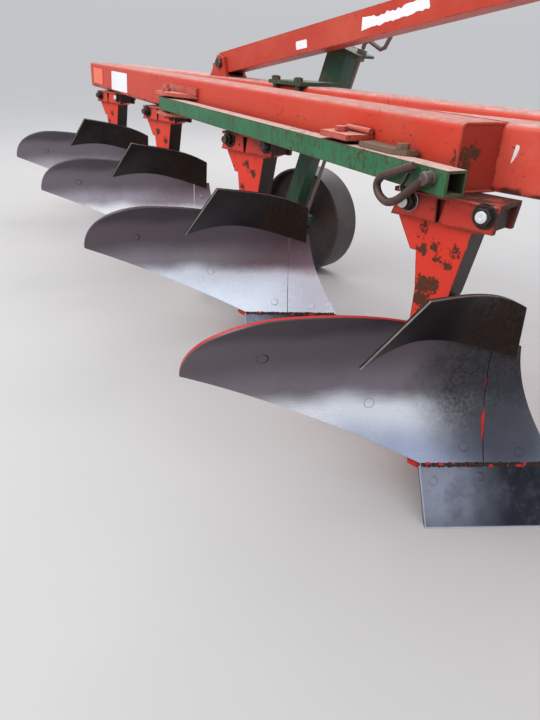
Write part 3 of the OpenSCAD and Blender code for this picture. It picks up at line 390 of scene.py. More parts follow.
def scoured_with_painted_reflection(name, highlight_colour, middle, top, foot, climb, stain=None, rough=0.34, metal=0.78, glare=0.30, low=None):
    """Polished steel with a painted highlight up to the height foot, browner above it over climb metres, and
    painted dark at the top. low is the colour painted under the band of light, glare how much duller the band
    is than bare metal; stain holds the place and reach of the soil stain, and those of the painted shade
    towards the point."""
    f = Finish(name)
    lines = drawn_lines(f, 9, 520)
    broad, fine = spots(f, 4, 3, 0.5), spots(f, 170, 4, 0.6)
    level = height(f) + broad * 0.08 + lines * 0.010 - 0.045
    out_of_highlight = ramp(f, level, foot, foot + climb)
    f.cover = blend(f, middle, top, ramp(f, level, foot + climb, foot + climb * 2.6))
    # painted reflection: a dark band just under the top edge
    f.lay(tone(46, 40, 44), ramp(f, level, 0.365, 0.405) * 0.6)
    # the painted band of light shades into the colour low towards the share
    if low:
        highlight_colour = blend(f, low, highlight_colour, ramp(f, level, foot - 0.085, foot - 0.005))
    f.cover = blend(f, highlight_colour, f.cover, out_of_highlight)
    f.lay(tone(88, 82, 88), ramp(f, lines, 0.45, 0.80) * 0.14)
    cloudy = ramp(f, spots(f, 12, 5, 0.6), 0.40, 0.70)
    f.lay(tone(110, 98, 102), cloudy * (out_of_highlight * 0.8 + 0.2) * 0.18)
    shine = ramp(f, level, foot, foot + climb * 2) * 0.10 + lines * 0.06 + cloudy * 0.06 + (rough - 0.08)
    marks = ramp(f, spots(f, 40, 6, 0.72), 0.70, 0.74) * out_of_highlight
    f.lay(tone(74, 66, 62), marks * 0.4)
    lumps = lines * 0.12 + marks * fine * 0.4
    metallic = metal - marks * 0.3 - (1.0 - out_of_highlight) * glare
    if stain:
        place, reach, point, shade = stain
        cloud = ramp(f, spots(f, 16, 5, 0.62) * 0.09 - apart(f, place), -reach, -reach * 0.30)
        grains = ramp(f, spots(f, 150, 6, 0.8), 0.30, 0.66)
        mud = blend(f, tone(19, 20, 26), tone(52, 48, 41), ramp(f, spots(f, 60, 6, 0.7), 0.42, 0.70))
        amount = cloud * (grains * 0.32 + 0.68)
        f.lay(mud, amount)
        metallic = metallic - amount * 0.5
        shine = shine + amount * 0.28
        lumps = lumps + amount * fine * 0.9
        # painted shade: towards the point the painted band of light fades to dark grey-blue
        f.lay(tone(46, 49, 60), (1.0 - ramp(f, apart(f, point), 0.04, shade)) * 0.92)
    return f.feed(base_color=f.cover, metallic=metallic, roughness=shine, normal=rough_up(f, lumps, 0.00030))


print("level lines lie", round(math.degrees(SOIL_WAY), 1), "degrees off the way of travel")

# %% [markdown]
# ## A steel for each board
# The first board has a patch of dried soil at its seam, and its painted light fades towards the point. The
# boards behind it are cleaner, and the last two look paler from the camera, so their painted light is paler:
# three steels.

# %% Steels of the boards
# the first board's soil stain, and the painted shade that dims its band of light towards the point
STAIN_AND_SHADE = ((0.090, 0.044, 0.282), 0.160, (0.110, 0.105, 0.155), 0.222)
board_near = scoured_with_painted_reflection("scoured_steel_painted_reflection_first", tone(236, 240, 248), tone(132, 124, 134), tone(106, 97, 104),
                     0.205, 0.048, STAIN_AND_SHADE, 0.32, glare=0.40, low=tone(162, 171, 194))
board_steel = scoured_with_painted_reflection("scoured_steel_painted_reflection", tone(234, 244, 255), tone(148, 140, 150), tone(102, 93, 100),
                      0.205, 0.045, rough=0.30, metal=0.82, glare=0.50)
# paler copy for the last two boards: a brighter painted reflection
board_far = scoured_with_painted_reflection("scoured_steel_painted_reflection_far", tone(252, 254, 255), tone(184, 178, 192), tone(128, 120, 130),
                    0.215, 0.040, rough=0.30, metal=0.82, glare=0.60)
BOARD_STEELS = (board_near, board_steel, board_far, board_far)  # for the four bodies, front to rear
print("scoured steels:", len(set(BOARD_STEELS)))

# %% [markdown]
# ## Steel that nothing polishes
# Bolts, the wheel and the trashboards are steel as well, but the soil doesn't scour them. They are dark
# from oil and age, with rust in patches and a bare line along each edge that knocks against something.


# %% Plain and blackened steel
def dark_plate(name, colour, brown, rim, rough=0.5, rusted=0.3, metal=0.6, lit=0.6, caked=None):
    """Plain or black steel with rust; rim is the colour of its edges, bare up to the amount lit. caked is
    a place, a reach and a colour of dried soil."""
    f = Finish(name)
    broad, fine = spots(f, 8, 6, 0.65), spots(f, 130, 4, 0.6)
    f.cover = blend(f, colour, brown, ramp(f, broad + fine * 0.3, 0.5, 0.95))
    rust = ramp(f, spots(f, 26, 6, 0.7), 0.70 - 0.2 * rusted, 0.85 - 0.2 * rusted)
    f.lay(blend(f, RUST, RUST_DARK, fine), rust * (0.3 + 0.6 * rusted))
    if caked:
        place, reach, soil = caked
        patch = ramp(f, spots(f, 20, 6, 0.7) * 0.12 - apart(f, place), -reach, -reach * 0.3)
        clods = patch * ramp(f, spots(f, 70, 5, 0.7), 0.3, 0.55)
        f.lay(blend(f, GRIME_AND_SHADE, soil, fine), clods * 0.85)
        rough = clods * 0.45 + rough
    worn = edges(f, 0.003) * ramp(f, spots(f, 55, 4), 0.32, lit)
    f.lay(rim, worn)
    return f.feed(base_color=f.cover, metallic=metal + worn * 0.3, roughness=rough + broad * 0.15 - worn * 0.2,
                  normal=rough_up(f, fine * 0.4 + rust * spots(f, 280, 3), 0.0005))


trash_steel = dark_plate("blackened_steel", tone(40, 37, 40), tone(62, 52, 48), tone(104, 98, 92),
                         0.26, 0.18, 0.9, caked=((0.070, 0.128, 0.392), 0.115, tone(78, 62, 52)))
trash_edge = dark_plate("cut_edge", tone(140, 132, 122), tone(104, 92, 82), tone(190, 184, 174), 0.45, 0.3, 0.8)
wheel_steel = dark_plate("wheel_steel", tone(72, 68, 70), tone(96, 84, 76), tone(128, 118, 110), 0.45, 0.5)
bolt_steel = dark_plate("bolt_steel", tone(74, 70, 66), tone(92, 76, 66), tone(170, 164, 156), 0.45, 0.4)
nut_steel = dark_plate("nut_steel", tone(44, 42, 40), tone(66, 56, 50), tone(112, 104, 96), 0.5, 0.35)
bright_steel = dark_plate("bright_steel", tone(235, 236, 238), tone(190, 188, 184), tone(250, 250, 250),
                          0.34, 0.08, 0.4)
rusty_steel = dark_plate("rusted_steel", tone(74, 55, 54), tone(96, 70, 60), tone(128, 104, 94), 0.42, 0.6, 0.4)
brown_plate = dark_plate("brown_plate", tone(112, 92, 72), tone(128, 96, 80), tone(66, 54, 44), 0.6, 0.5, 0.1)
# the boss's bright rim is wear and a painted highlight on its tip
boss_wear_and_highlight = dark_plate("boss_wear_and_highlight", tone(96, 80, 76), tone(84, 66, 58), tone(180, 168, 160),
                       0.36, 0.45, 0.6, 0.55)
pale_steel = dark_plate("crank_steel", tone(124, 120, 116), tone(104, 92, 84), tone(190, 186, 180), 0.4, 0.3)
print("materials made:", len(bpy.data.materials))

# %% [markdown]
# ## A finish for every part of the frame
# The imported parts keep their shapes, so their materials go straight onto their slots. The list says
# which finish a part gets, by the start of its name. The legs, the shares and the main beam get finishes
# of their own further down, because their marks lie at places that are measured on each of them.

# %% Dress the parts
DRESS = {
    "main_beam": red_beam, "side_beam": red_pale, "inner_beam": red_pale, "front_beam": red_beam,
    "frame_brace": red_beam, "mast": red_beam, "hitch_lugs": red_beam, "strut": red_strut,
    "strut_foot": red_strut, "leg_bracket": red_bracket, "leg": red_bracket, "frogs": red_bracket,
    "share": bolt_steel, "moldboard": board_steel, "shin_pieces": board_steel,
    "trashboard": trash_steel, "landsides": bolt_steel, "tail_braces": red_bracket,
    "arm_bracket": red_dusty, "arm_catch": red_dusty, "packer_arm": green_arm,
    "arm_lock_plate": brown_plate, "arm_hook": rusty_steel, "hook_latch": bolt_steel,
    "wheel_clamp": green_old, "wheel_guide": green_old, "wheel_screw": pale_steel,
    "wheel_leg": green_old, "wheel_disc": wheel_steel, "wheel_rim": wheel_steel,
    "stand_sleeve": red_beam, "stand_leg": bolt_steel, "hitch_shaft": bolt_steel,
    "strut_pins": bolt_steel, "leg_bolts": nut_steel}


def finish_for(name):
    stem = name if name in DRESS else name.rsplit("_", 1)[0]
    return DRESS[stem]


for name, part in nodes.items():
    part.data.materials.clear()
    part.data.materials.append(finish_for(name))
print("parts dressed:", len(nodes))

# %% [markdown]
# ## From the first leg to every leg
# The four bodies are alike. Each one is measured from the front bolt of its leg, and the next body
# stands 0.82 m further back and 0.30 m to the left. Pieces are therefore made once, in that small
# frame, and set four times.

# %% The bodies' own frame
BODIES = 4
BODY_PITCH, CUT_WIDTH = 0.820, 0.300
MIDDLE = Vector((-1.126962, 0.432092, 0))


def at_body(k):
    """From a body's own frame, in metres, to the plough's."""
    return Matrix.Translation(Vector((-k * BODY_PITCH, k * CUT_WIDTH, 0)) - MIDDLE)


def new_piece(name, mesh, slot, place=None, body="frame"):
    """An object from a mesh; place is its matrix, so its texture coordinates stay those of the mesh."""
    piece = bpy.data.objects.new(name, mesh)
    scene.collection.objects.link(piece)
    piece.matrix_world = place or Matrix.Identity(4)
    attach(piece, body)
    return piece


BEAM_ANGLE = math.atan(CUT_WIDTH / BODY_PITCH)
BEAM_WIDE, BEAM_FRONT, BEAM_ROUND = 0.120, -0.088, 0.012


def on_main(x, w, z):
    """From the main beam's own frame: x forward along it, w to the land, z above the floor."""
    return Vector((x * math.cos(BEAM_ANGLE) + w * math.sin(BEAM_ANGLE),
                   -x * math.sin(BEAM_ANGLE) + w * math.cos(BEAM_ANGLE), z)) - MIDDLE


print("last body's bolt stands at", [round(c, 3) for c in at_body(BODIES - 1).translation])

# %% [markdown]
# ## Legs with lost paint
# The paint on the legs is the brightest of all, and it comes off in brown patches with crisp outlines.
# The biggest ones are listed, as a middle and a reach on the leg's near side, and noise makes
# their outlines ragged. Each leg gets its own set, so no two legs look stamped.

# %% A finish for each leg
LEG_SIDE = 0.025
LEG_MARKS = [
    [(-0.118, 0.518, 0.012), (-0.092, 0.530, 0.009), (-0.052, 0.524, 0.010), (-0.063, 0.497, 0.009),
     (-0.083, 0.505, 0.007), (-0.104, 0.446, 0.019), (-0.086, 0.450, 0.014), (-0.108, 0.418, 0.018),
     (-0.122, 0.560, 0.006), (-0.095, 0.400, 0.012)],
    [(-0.098, 0.540, 0.012), (-0.066, 0.516, 0.010), (-0.108, 0.470, 0.010), (-0.064, 0.442, 0.014)],
    [(-0.110, 0.530, 0.014), (-0.060, 0.500, 0.012), (-0.092, 0.448, 0.016)],
    [(-0.080, 0.520, 0.012), (-0.112, 0.480, 0.012), (-0.070, 0.440, 0.012)]]
for k, spots_on_leg in enumerate(LEG_MARKS):
    marks = [(at_body(k) @ Vector((x, LEG_SIDE, z)), reach) for x, z, reach in spots_on_leg]
    leg_paint = paint(f"red_paint_leg_{k}", tone(232, 60, 42), tone(220, 72, 54), tone(170, 110, 92), dusty=0.6,
                      chipped=0.85, soiled=0.35, gloss=0.44, front=(tone(27, 22, 20), 0.98, 0.6),
                      patches=0.30, marks=marks, corner=0.06)
    nodes[f"leg_{k}"].data.materials[0] = leg_paint
END_MARKS = [(0.006, 0.692, 0.013), (0.024, 0.698, 0.014), (0.043, 0.699, 0.013), (0.026, 0.680, 0.011)]
nodes["main_beam"].data.materials[0] = paint(
    "red_paint_main", chipped=0.7, marks=[(on_main(BEAM_FRONT, w, z), reach) for w, z, reach in END_MARKS],
    **BEAM_RED)
print("leg finishes:", len(LEG_MARKS))

# %% [markdown]
# ## The boards
# A moldboard is made of level straight lines that turn as they climb, so the soil is lifted and then
# thrown over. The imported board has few, flat faces, and polished steel shows each of them. Here the
# same rule is walked in small steps, which gives a smooth sheet of the same size, with its worked face
# in steel and its back in red paint. A subdivision surface would round the cut edge as well; a finer
# grid keeps it crisp.

# %% The board's rule
SHARE_ANGLE, SHARE_TILT = math.radians(47.6), math.radians(50.9)
SHARE_WIDTH = 0.126
LAND_Y, SHARE_CUT = 0.169, 0.277
WING = Vector((0.060, LAND_Y - SHARE_CUT, 0))
SHARE_LENGTH = SHARE_CUT / math.sin(SHARE_ANGLE)
SHARE_TOP = SHARE_WIDTH * math.sin(SHARE_TILT)
SHARE_BACK = SHARE_WIDTH * math.cos(SHARE_TILT)
BOARD_THICK, CREST = 0.008, 0.347
TWIST, CURL = math.radians(12.8), math.radians(71)
TOP, TOP_A, TAIL_A, TAIL_Z, TAIL_ROUND, TOP_SAG = 0.433, 0.496, 0.684, 0.294, 0.1885, 0.511
SHIN_A, SEAM = 0.054, 0.002
GUIDE = SHARE_LENGTH / 2
WING_A = -GUIDE + 0.004
RISE = (SHARE_BACK / SHARE_TOP) / (1 - SHARE_TOP / (2 * CREST))


def level(turn): return Vector((math.cos(turn), math.sin(turn), 0))


def behind(turn): return Vector((-math.sin(turn), math.cos(turn), 0))


def turn_at(z):
    over = max(0, z - SHARE_TOP)
    return SHARE_ANGLE + (TWIST + CURL * over) * over


def on_board(a, z, out=0.0):
    """A point on the worked face: a along the level line, z above the share's edge, out in front of it."""
    set_back = RISE * z * (1 - z / (2 * CREST))
    foot = WING + GUIDE * level(SHARE_ANGLE) + set_back * behind(SHARE_ANGLE)
    return foot + Vector((0, 0, z)) + a * level(turn_at(z)) + (out * off_board(a, z) if out else Vector())


def off_board(a, z):
    """The way straight out of the worked face."""
    climb = Vector((0, 0, 1)) + RISE * (1 - z / CREST) * behind(SHARE_ANGLE)
    if z > SHARE_TOP:
        climb += a * (TWIST + 2 * CURL * (z - SHARE_TOP)) * behind(turn_at(z))
    return level(turn_at(z)).cross(climb).normalized()


def top_edge(a):
    if a > -TOP_A:
        return TOP - TOP_SAG * (a + TOP_A) ** 2
    return TAIL_Z + (TOP - TAIL_Z) * math.sqrt(max(0, 1 - ((a + TOP_A) / TAIL_ROUND) ** 2))


def low_edge(a):
    climb = (TAIL_Z - SHARE_TOP) / (TAIL_A + WING_A)
    return SHARE_TOP + SEAM + max(0, WING_A - a) * climb


print("board rule: the top line turns", round(math.degrees(turn_at(TOP) - SHARE_ANGLE), 1), "degrees")

# %% [markdown]
# ## Sheets with two faces
# A sheet is two grids of points and the rim between them. The rim is two more strips of faces, so that
# it can carry materials of its own, painted behind and ground bare in front, and its corners stay sharp
# under smooth shading.


# %% Sheets from two grids
SHEET_SHARP = 35  # degrees; a corner sharper than this stays crisp


def finish_mesh(name, made, finishes, sharp=None):
    """Turns a bmesh into a mesh that carries these finishes."""
    bmesh.ops.recalc_face_normals(made, faces=made.faces)
    mesh = bpy.data.meshes.new(name)
    made.to_mesh(mesh)
    made.free()
    for finish in finishes:
        mesh.materials.append(finish)
    if sharp:
        mesh.set_sharp_from_angle(angle=math.radians(sharp))
    return mesh


def sheet_mesh(name, face, back, finishes, painted=None, ground=0.42):
    """Closed sheet between two grids. Finishes: face, back, painted rim, bare rim. painted(i, j) says
    where the rim keeps its paint; the part of the rim next to the face, ground deep, is always bare."""
    rows, cols = len(face), len(face[0])
    points = [p for grid in (face, back) for row in grid for p in row]
    half = rows * cols
    quads = []
    for i in range(rows - 1):
        for j in range(cols - 1):
            a, b, c, d = i * cols + j, i * cols + j + 1, (i + 1) * cols + j + 1, (i + 1) * cols + j
            quads += [((a, b, c, d), 0), ((half + d, half + c, half + b, half + a), 1)]
    rim = ([(0, j) for j in range(cols)] + [(i, cols - 1) for i in range(1, rows)]
           + [(rows - 1, j) for j in range(cols - 2, -1, -1)] + [(i, 0) for i in range(rows - 2, 0, -1)])
    middle = len(points)
    points += [face[i][j].lerp(back[i][j], ground) for i, j in rim]
    for step, ((i, j), (m, n)) in enumerate(zip(rim, rim[1:] + rim[:1])):
        a, b = i * cols + j, m * cols + n
        c, d = middle + step, middle + (step + 1) % len(rim)
        keeps = painted and painted(i, j) and painted(m, n)
        quads += [((b, a, c, d), 3), ((d, c, half + a, half + b), 2 if keeps else 3)]
    made = bmesh.new()
    corners = [made.verts.new(p) for p in points]
    for quad, mark in quads:
        side = made.faces.new([corners[n] for n in quad])
        side.material_index, side.smooth = mark, True
    bmesh.ops.remove_doubles(made, verts=made.verts, dist=1e-6)
    bmesh.ops.dissolve_degenerate(made, edges=made.edges, dist=1e-6)
    return finish_mesh(name, made, finishes, SHEET_SHARP)


def two_grids(cells, outer, inner):
    """The same cells (a, z) on the board's rule, outer and inner metres in front of it."""
    return [[[on_board(a, z, out) for a, z in row] for row in cells] for out in (outer, inner)]


print("a sheet's corners stay crisp above", SHEET_SHARP, "degrees")

# %% [markdown]
# ## Four moldboards
# The columns of the grid crowd together at the tail, where the outline turns fastest. The first board
# keeps a red line of paint on its rim and the others have lost it, so there are two meshes, and the
# rear bodies' copy only differs in its steel. Each takes the place of an imported board, which is hidden.
# Each replaces a packed board, which stays for collision.


# %% The moldboards
BOARD_COLS, BOARD_ROWS = 88, 36
columns = [-TAIL_A + (TAIL_A - SHIN_A - SEAM / 2) * (1 - math.cos(math.pi / 2 * i / BOARD_COLS))
           for i in range(BOARD_COLS + 1)]
board_cells = [[(a, low_edge(a) + (top_edge(a) - low_edge(a)) * j / BOARD_ROWS)
                for j in range(BOARD_ROWS + 1)] for a in columns]


def on_top(i, j):
    return j == BOARD_ROWS


def keeps_paint(i, j):
    """The first board's rim is painted along the top, round the tail and at the corner over the share."""
    return on_top(i, j) or (j == 0 and -0.235 < board_cells[i][j][0] < -0.180)


grids = two_grids(board_cells, 0.0, -BOARD_THICK)
board_first = sheet_mesh("moldboard_first", *grids, (board_near, red_soiled, red_back, board_near), keeps_paint)
board_other = sheet_mesh("moldboard", *grids, (board_steel, red_soiled, bolt_steel, board_steel), on_top)
board_rear = board_other.copy()
board_rear.materials[0] = board_rear.materials[3] = board_far
for k, mesh in enumerate((board_first, board_other, board_rear, board_rear)):
    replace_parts(new_piece(f"board_{k}", mesh, "ground_steel", at_body(k)), f"moldboard_{k}")
print("faces in a board:", len(board_first.polygons))

# %% [markdown]
# ## The red corner under the wing
# The frog carries a small plate behind the board's lower corner. Only its painted rim looks out below
# the board, beside the share, and that red edge is one of the things the eye finds first.

# %% Corner plates
CORNER_THICK, CORNER_DROP, CORNER_TALL, CORNER_LONG = 0.005, 0.009, 0.028, 0.026
CORNER_COLS, CORNER_ROWS, CORNER_GAP = 12, 5, 0.0004
corner_cells = [[(a, low_edge(a) - CORNER_DROP + CORNER_TALL * j / CORNER_ROWS) for j in range(CORNER_ROWS + 1)]
                for a in (WING_A - 0.030 + CORNER_LONG * i / CORNER_COLS for i in range(CORNER_COLS + 1))]
corner_mesh = sheet_mesh("corner_plate", *two_grids(
    corner_cells, -BOARD_THICK - CORNER_GAP, -BOARD_THICK - CORNER_THICK), (red_back,) * 4)
for k in range(BODIES):
    new_piece(f"corner_plate_{k}", corner_mesh, "red_paint", at_body(k))
print("corner plates drop", CORNER_DROP, "m below the board")

# %% [markdown]
# ## The shin pieces
# The shin piece cuts the furrow wall and wears out first, so it is a strip of its own in front of the
# board. It follows the same rule: from the seam to the line where the rule meets the furrow wall.


# %% Shin pieces
WALL_GAP, WALL_LEAN = 0.006, 0.055


def land_edge(z):
    """How far along the level line the furrow wall cuts the board off."""
    wall = LAND_Y - WALL_GAP - WALL_LEAN * (z - SHARE_TOP)
    return (wall - on_board(0, z).y) / math.sin(turn_at(z))


shin_top, shin_from = top_edge(-SHIN_A), -SHIN_A + SEAM / 2
SHIN_COLS = 14
shin_cells = [[(shin_from + (land_edge(z) - shin_from) * i / SHIN_COLS, z)
               for z in (SHARE_TOP + SEAM + (shin_top - SHARE_TOP - SEAM) * j / BOARD_ROWS
                         for j in range(BOARD_ROWS + 1))] for i in range(SHIN_COLS + 1)]
shins = [sheet_mesh(name, *two_grids(shin_cells, 0.0, -BOARD_THICK), (finish, red_soiled, finish, finish))
         for name, finish in (("shin_first", board_near), ("shin", board_steel), ("shin_rear", board_far))]
for k in range(BODIES):
    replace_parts(new_piece(f"shin_{k}", shins[min(k, 2)], "ground_steel", at_body(k)), "shin_pieces")
print("a shin piece is", round((land_edge(0.2) + SHIN_A) * 1000), "mm wide at 0.2 m")

# %% [markdown]
# ## The trashboards
# A trashboard turns straw down into the furrow. It is a ruled plate: straight lines between a lower and
# an upper edge, and each edge is a curve with four guide points. Its cut rim is bare and bright, and the
# face is nearly black.

# %% Trashboards
TRASH_THICK = 0.006
TRASH_LOW = [Vector(p) for p in (
    (-0.041, -0.262, 0.379), (-0.052, -0.078, 0.395), (-0.035, -0.004, 0.368), (0.073, 0.134, 0.311))]
TRASH_HIGH = [Vector(p) for p in (
    (0.041, -0.217, 0.514), (0.031, -0.073, 0.485), (0.041, 0.055, 0.469), (0.066, 0.143, 0.418))]


def along(guide, t):
    """A curve with four guide points, t from 0 to 1."""
    s = 1 - t
    return s ** 3 * guide[0] + 3 * s * s * t * guide[1] + 3 * s * t * t * guide[2] + t ** 3 * guide[3]


def between(u, v):
    return along(TRASH_LOW, u).lerp(along(TRASH_HIGH, u), v)


def on_trash(u, v, out):
    """A point on the plate: u along its edges, v from the lower edge to the upper, out in front of it."""
    way = between(min(1, u + 0.01), v) - between(max(0, u - 0.01), v)
    return between(u, v) + out * way.cross(along(TRASH_HIGH, u) - along(TRASH_LOW, u)).normalized()


TRASH_COLS, TRASH_ROWS = 56, 14
trash_grids = [[[on_trash(i / TRASH_COLS, j / TRASH_ROWS, out) for j in range(TRASH_ROWS + 1)]
                for i in range(TRASH_COLS + 1)] for out in (0.0, -TRASH_THICK)]
trash_mesh = sheet_mesh("trashboard", *trash_grids, (trash_steel, trash_steel, trash_steel, trash_edge),
                        painted=lambda i, j: True, ground=0.5)
print("a trashboard is", round((along(TRASH_LOW, 1) - along(TRASH_LOW, 0)).length, 3), "m long")

# %% [markdown]
# ## The stem of a trashboard
# A flat bar ties each trashboard to its leg. It is an outline drawn up to its thickness, with softened
# edges, and it ends where the plate's face stands at that height, which is found by halving.


# %% Stems
def slab(outline, low, high):
    """A flat outline drawn up from low to high, as a bmesh."""
    made = bmesh.new()
    base = made.faces.new([made.verts.new((x, y, low)) for x, y in outline])
    for item in bmesh.ops.extrude_face_region(made, geom=[base])["geom"]:
        if isinstance(item, bmesh.types.BMVert):
            item.co.z = high
    bmesh.ops.recalc_face_normals(made, faces=made.faces)
    return made


def trash_x(y, z):
    """Where the plate's face stands at that y and z, found by halving."""
    low, high = 0.0, 1.0
    for _ in range(24):
        u = (low + high) / 2
        a, b = along(TRASH_LOW, u), along(TRASH_HIGH, u)
        here = a.lerp(b, (z - a.z) / (b.z - a.z))
        low, high = (u, high) if here.y < y else (low, u)
    return here.x


STEM_LOW, STEM_HIGH, STEM_REAR, STEM_SIDES, STEM_SOFT = 0.415, 0.427, -0.063, (0.040, 0.070), 0.0015
stem_ends = [(trash_x(y, STEM_LOW) - 0.003, y) for y in STEM_SIDES]
stem = slab([(STEM_REAR, STEM_SIDES[0]), (STEM_REAR, STEM_SIDES[1]), stem_ends[1], stem_ends[0]],
            STEM_LOW, STEM_HIGH)
bmesh.ops.bevel(stem, geom=stem.edges[:], offset=STEM_SOFT, segments=3, affect="EDGES", profile=0.6)
for side in stem.faces:
    side.smooth = True
stem_mesh = finish_mesh("trash_stem", stem, (red_bracket,), 50)
for k in range(BODIES):
    for name, mesh, slot in (("trash", trash_mesh, "dark_steel"), ("trash_stem", stem_mesh, "red_paint")):
        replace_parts(new_piece(f"{name}_{k}", mesh, slot, at_body(k)), f"trashboard_{k}")
print("a stem is", round(stem_ends[0][0] - STEM_REAR, 3), "m long")

# %% [markdown]
# ## Turned pieces
# Bolt heads, nuts and washers are turned: a short profile of radius and height is carried round an axis.
# Each band of the profile may have its own finish, so one small mesh holds a bright head and the dark
# ring of soil around it.


# %% Turned pieces
def skin(made, rings, marks=None):
    """Quads between rings of vertices and a cap on each end; marks are the finish numbers of the rings."""
    marks = marks or [0] * len(rings)
    for ring, after, mark in zip(rings, rings[1:], marks[1:]):
        for n in range(len(ring)):
            m = (n + 1) % len(ring)
            side = made.faces.new((ring[n], ring[m], after[m], after[n]))
            side.material_index, side.smooth = mark, True
    made.faces.new(rings[0][::-1]).material_index = marks[0]
    made.faces.new(rings[-1]).material_index = marks[-1]


def round_ring(made, middle, side, other, radius, sides):
    """A ring of vertices about middle, in the plane of the directions side and other."""
    return [made.verts.new(middle + radius * (math.cos(turn) * side + math.sin(turn) * other))
            for turn in (2 * math.pi * n / sides for n in range(sides))]


AXES = Vector((1, 0, 0)), Vector((0, 1, 0))
TURNED_SIDES, TURNED_SHARP = 32, 28  # sides of a turned piece; degrees above which a corner stays crisp


def lathe(name, profile, *finishes):
    """Turns (radius, height, finish number) points round Z; the number may be left out where it is 0."""
    made = bmesh.new()
    rings = [round_ring(made, Vector((0, 0, point[1])), *AXES, point[0], TURNED_SIDES) for point in profile]
    skin(made, rings, [point[2] if len(point) > 2 else 0 for point in profile])
    return finish_mesh(name, made, finishes, TURNED_SHARP)


print("turned pieces have", TURNED_SIDES, "sides")

# %% [markdown]
# ## One bolt in many places
# A bolt stands on a surface by that surface's own direction, which a matrix carries. The bolts of one
# board are joined to a single mesh, because they never move apart and one piece is easier to keep.


# %% Plough bolts
def stand(point, way):
    """Matrix that puts a turned piece on point, with its axis along way."""
    return Matrix.Translation(point) @ Vector(way).to_track_quat("Z", "Y").to_matrix().to_4x4()


def join(name, mesh, matrices):
    """One mesh from the same mesh set at each of the matrices."""
    made = bmesh.new()
    for matrix in matrices:
        copy = mesh.copy()
        copy.transform(matrix)
        made.from_mesh(copy)
        bpy.data.meshes.remove(copy)
    whole = bpy.data.meshes.new(name)
    made.to_mesh(whole)
    made.free()
    for finish in mesh.materials:
        whole.materials.append(finish)
    return whole


PROUD, SOIL_RING = 0.0006, 0.0008


def plough_bolt(name, radius, finish, proud=PROUD, soil=SOIL_RING):
    """Countersunk head, ground flush with the steel, in a thin ring of soil."""
    return lathe(name, [(radius + soil + 0.0001, -0.001, 1), (radius + soil, 0.00015, 1),
                        (radius + 0.0001, 0.0001, 1), (radius, proud * 0.4), (radius - 0.0012, proud),
                        (0.003, proud * 0.8), (0.0005, proud * 0.5)], finish, nut_steel)


print("a plough bolt's head stands", PROUD * 1000, "mm proud, in soil", SOIL_RING * 1000, "mm wide")

# %% [markdown]
# ## Flush bolts
# Plough bolts have countersunk heads, and the soil grinds them down with the board, until only a thin
# ring of dirt shows where each one sits. The heads take the board's own steel, so they catch the same
# light as the sheet around them.

# %% Bolts in the boards
HEAD_LIFT = 0.0002


def bolt_on_board(a, z):
    return stand(on_board(a, z, HEAD_LIFT), off_board(a, z))


TAIL_BOLT = (-0.530, 0.333)
BOARD_BOLTS = [(-0.302, 0.220), (-0.096, 0.131), (-0.070, 0.297)]
SHIN_BOLTS = [(0.024, 0.120), (-0.020, 0.277)]
for k, steel in enumerate(BOARD_STEELS):
    head = plough_bolt(f"plough_bolt_{k}", 0.0100, steel)
    tail = plough_bolt(f"tail_bolt_{k}", 0.0104, steel, proud=0.0012, soil=0.0022)
    for name, mesh, places in (("tail_bolt", tail, [TAIL_BOLT]),
                               ("board_bolts", head, BOARD_BOLTS + SHIN_BOLTS)):
        new_piece(f"{name}_{k}", join(name, mesh, [bolt_on_board(a, z) for a, z in places]),
                  "bolt_steel", at_body(k))
print("flush bolts on each board and shin piece:", 1 + len(BOARD_BOLTS + SHIN_BOLTS))

# %% [markdown]
# ## The shares
# A share is a plain plate and keeps its imported shape. Its looks are in the tone and the wear: bright at the
# wing end, darker towards the point, smeared with soil that has dried on, and with a thin light line
# along every edge.


# %% A finish for each share
def on_share(x, y, out=0.0):
    """A point on the share's face: x along the edge from the wing, y up the plate."""
    up = math.cos(SHARE_TILT) * behind(SHARE_ANGLE) + Vector((0, 0, math.sin(SHARE_TILT)))
    return WING + x * level(SHARE_ANGLE) + y * up + out * level(SHARE_ANGLE).cross(up)


share_way = on_share(0, 0, 1) - on_share(0, 0)
SHARE_BOLTS = [(0.024, 0.095), (0.124, 0.103), (0.221, 0.105)]


def share_finish(k, name="share_steel", rim=1.0):
    """Bright at the wing end, darker towards the point, with smears of dried soil."""
    f = Finish(f"{name}_{k}")
    lines = drawn_lines(f, 9, 420)
    away = apart(f, at_body(k) @ on_share(0.030, 0.075))
    far = ramp(f, away + spots(f, 14, 4) * 0.06, 0.03, 0.20)
    f.cover = blend(f, tone(136, 139, 152), tone(36, 38, 45), far)
    smear = ramp(f, spots(f, 26, 6, 0.72), 0.50, 0.66)
    f.lay(tone(168, 170, 180), smear * 0.07)
    f.lay(tone(64, 68, 78), ramp(f, spots(f, 17, 6, 0.68), 0.44, 0.66) * 0.45)
    f.lay(tone(70, 62, 58), ramp(f, spots(f, 75, 6, 0.75), 0.60, 0.66) * 0.35)
    f.lay(tone(206, 212, 220), edges(f, 0.005) * ramp(f, spots(f, 40, 4), 0.16, 0.36) * rim)
    return f.feed(base_color=f.cover, metallic=0.88, roughness=smear * 0.10 + lines * 0.08 + 0.30,
                  normal=rough_up(f, lines * 0.15 + smear * 0.2 + spots(f, 200, 4) * 0.2, 0.0003))


for k in range(BODIES):
    nodes[f"share_{k}"].data.materials[0] = share_finish(k)
    head = plough_bolt(f"share_bolt_{k}", 0.0085, share_finish(k, "share_bolt_steel", 0.0), soil=0.0005)
    places = [at_body(k) @ stand(on_share(x, y, HEAD_LIFT), share_way) for x, y in SHARE_BOLTS]
    new_piece(f"share_bolts_{k}", join("share_bolts", head, places), "bolt_steel")
print("bolts in each share:", len(SHARE_BOLTS))

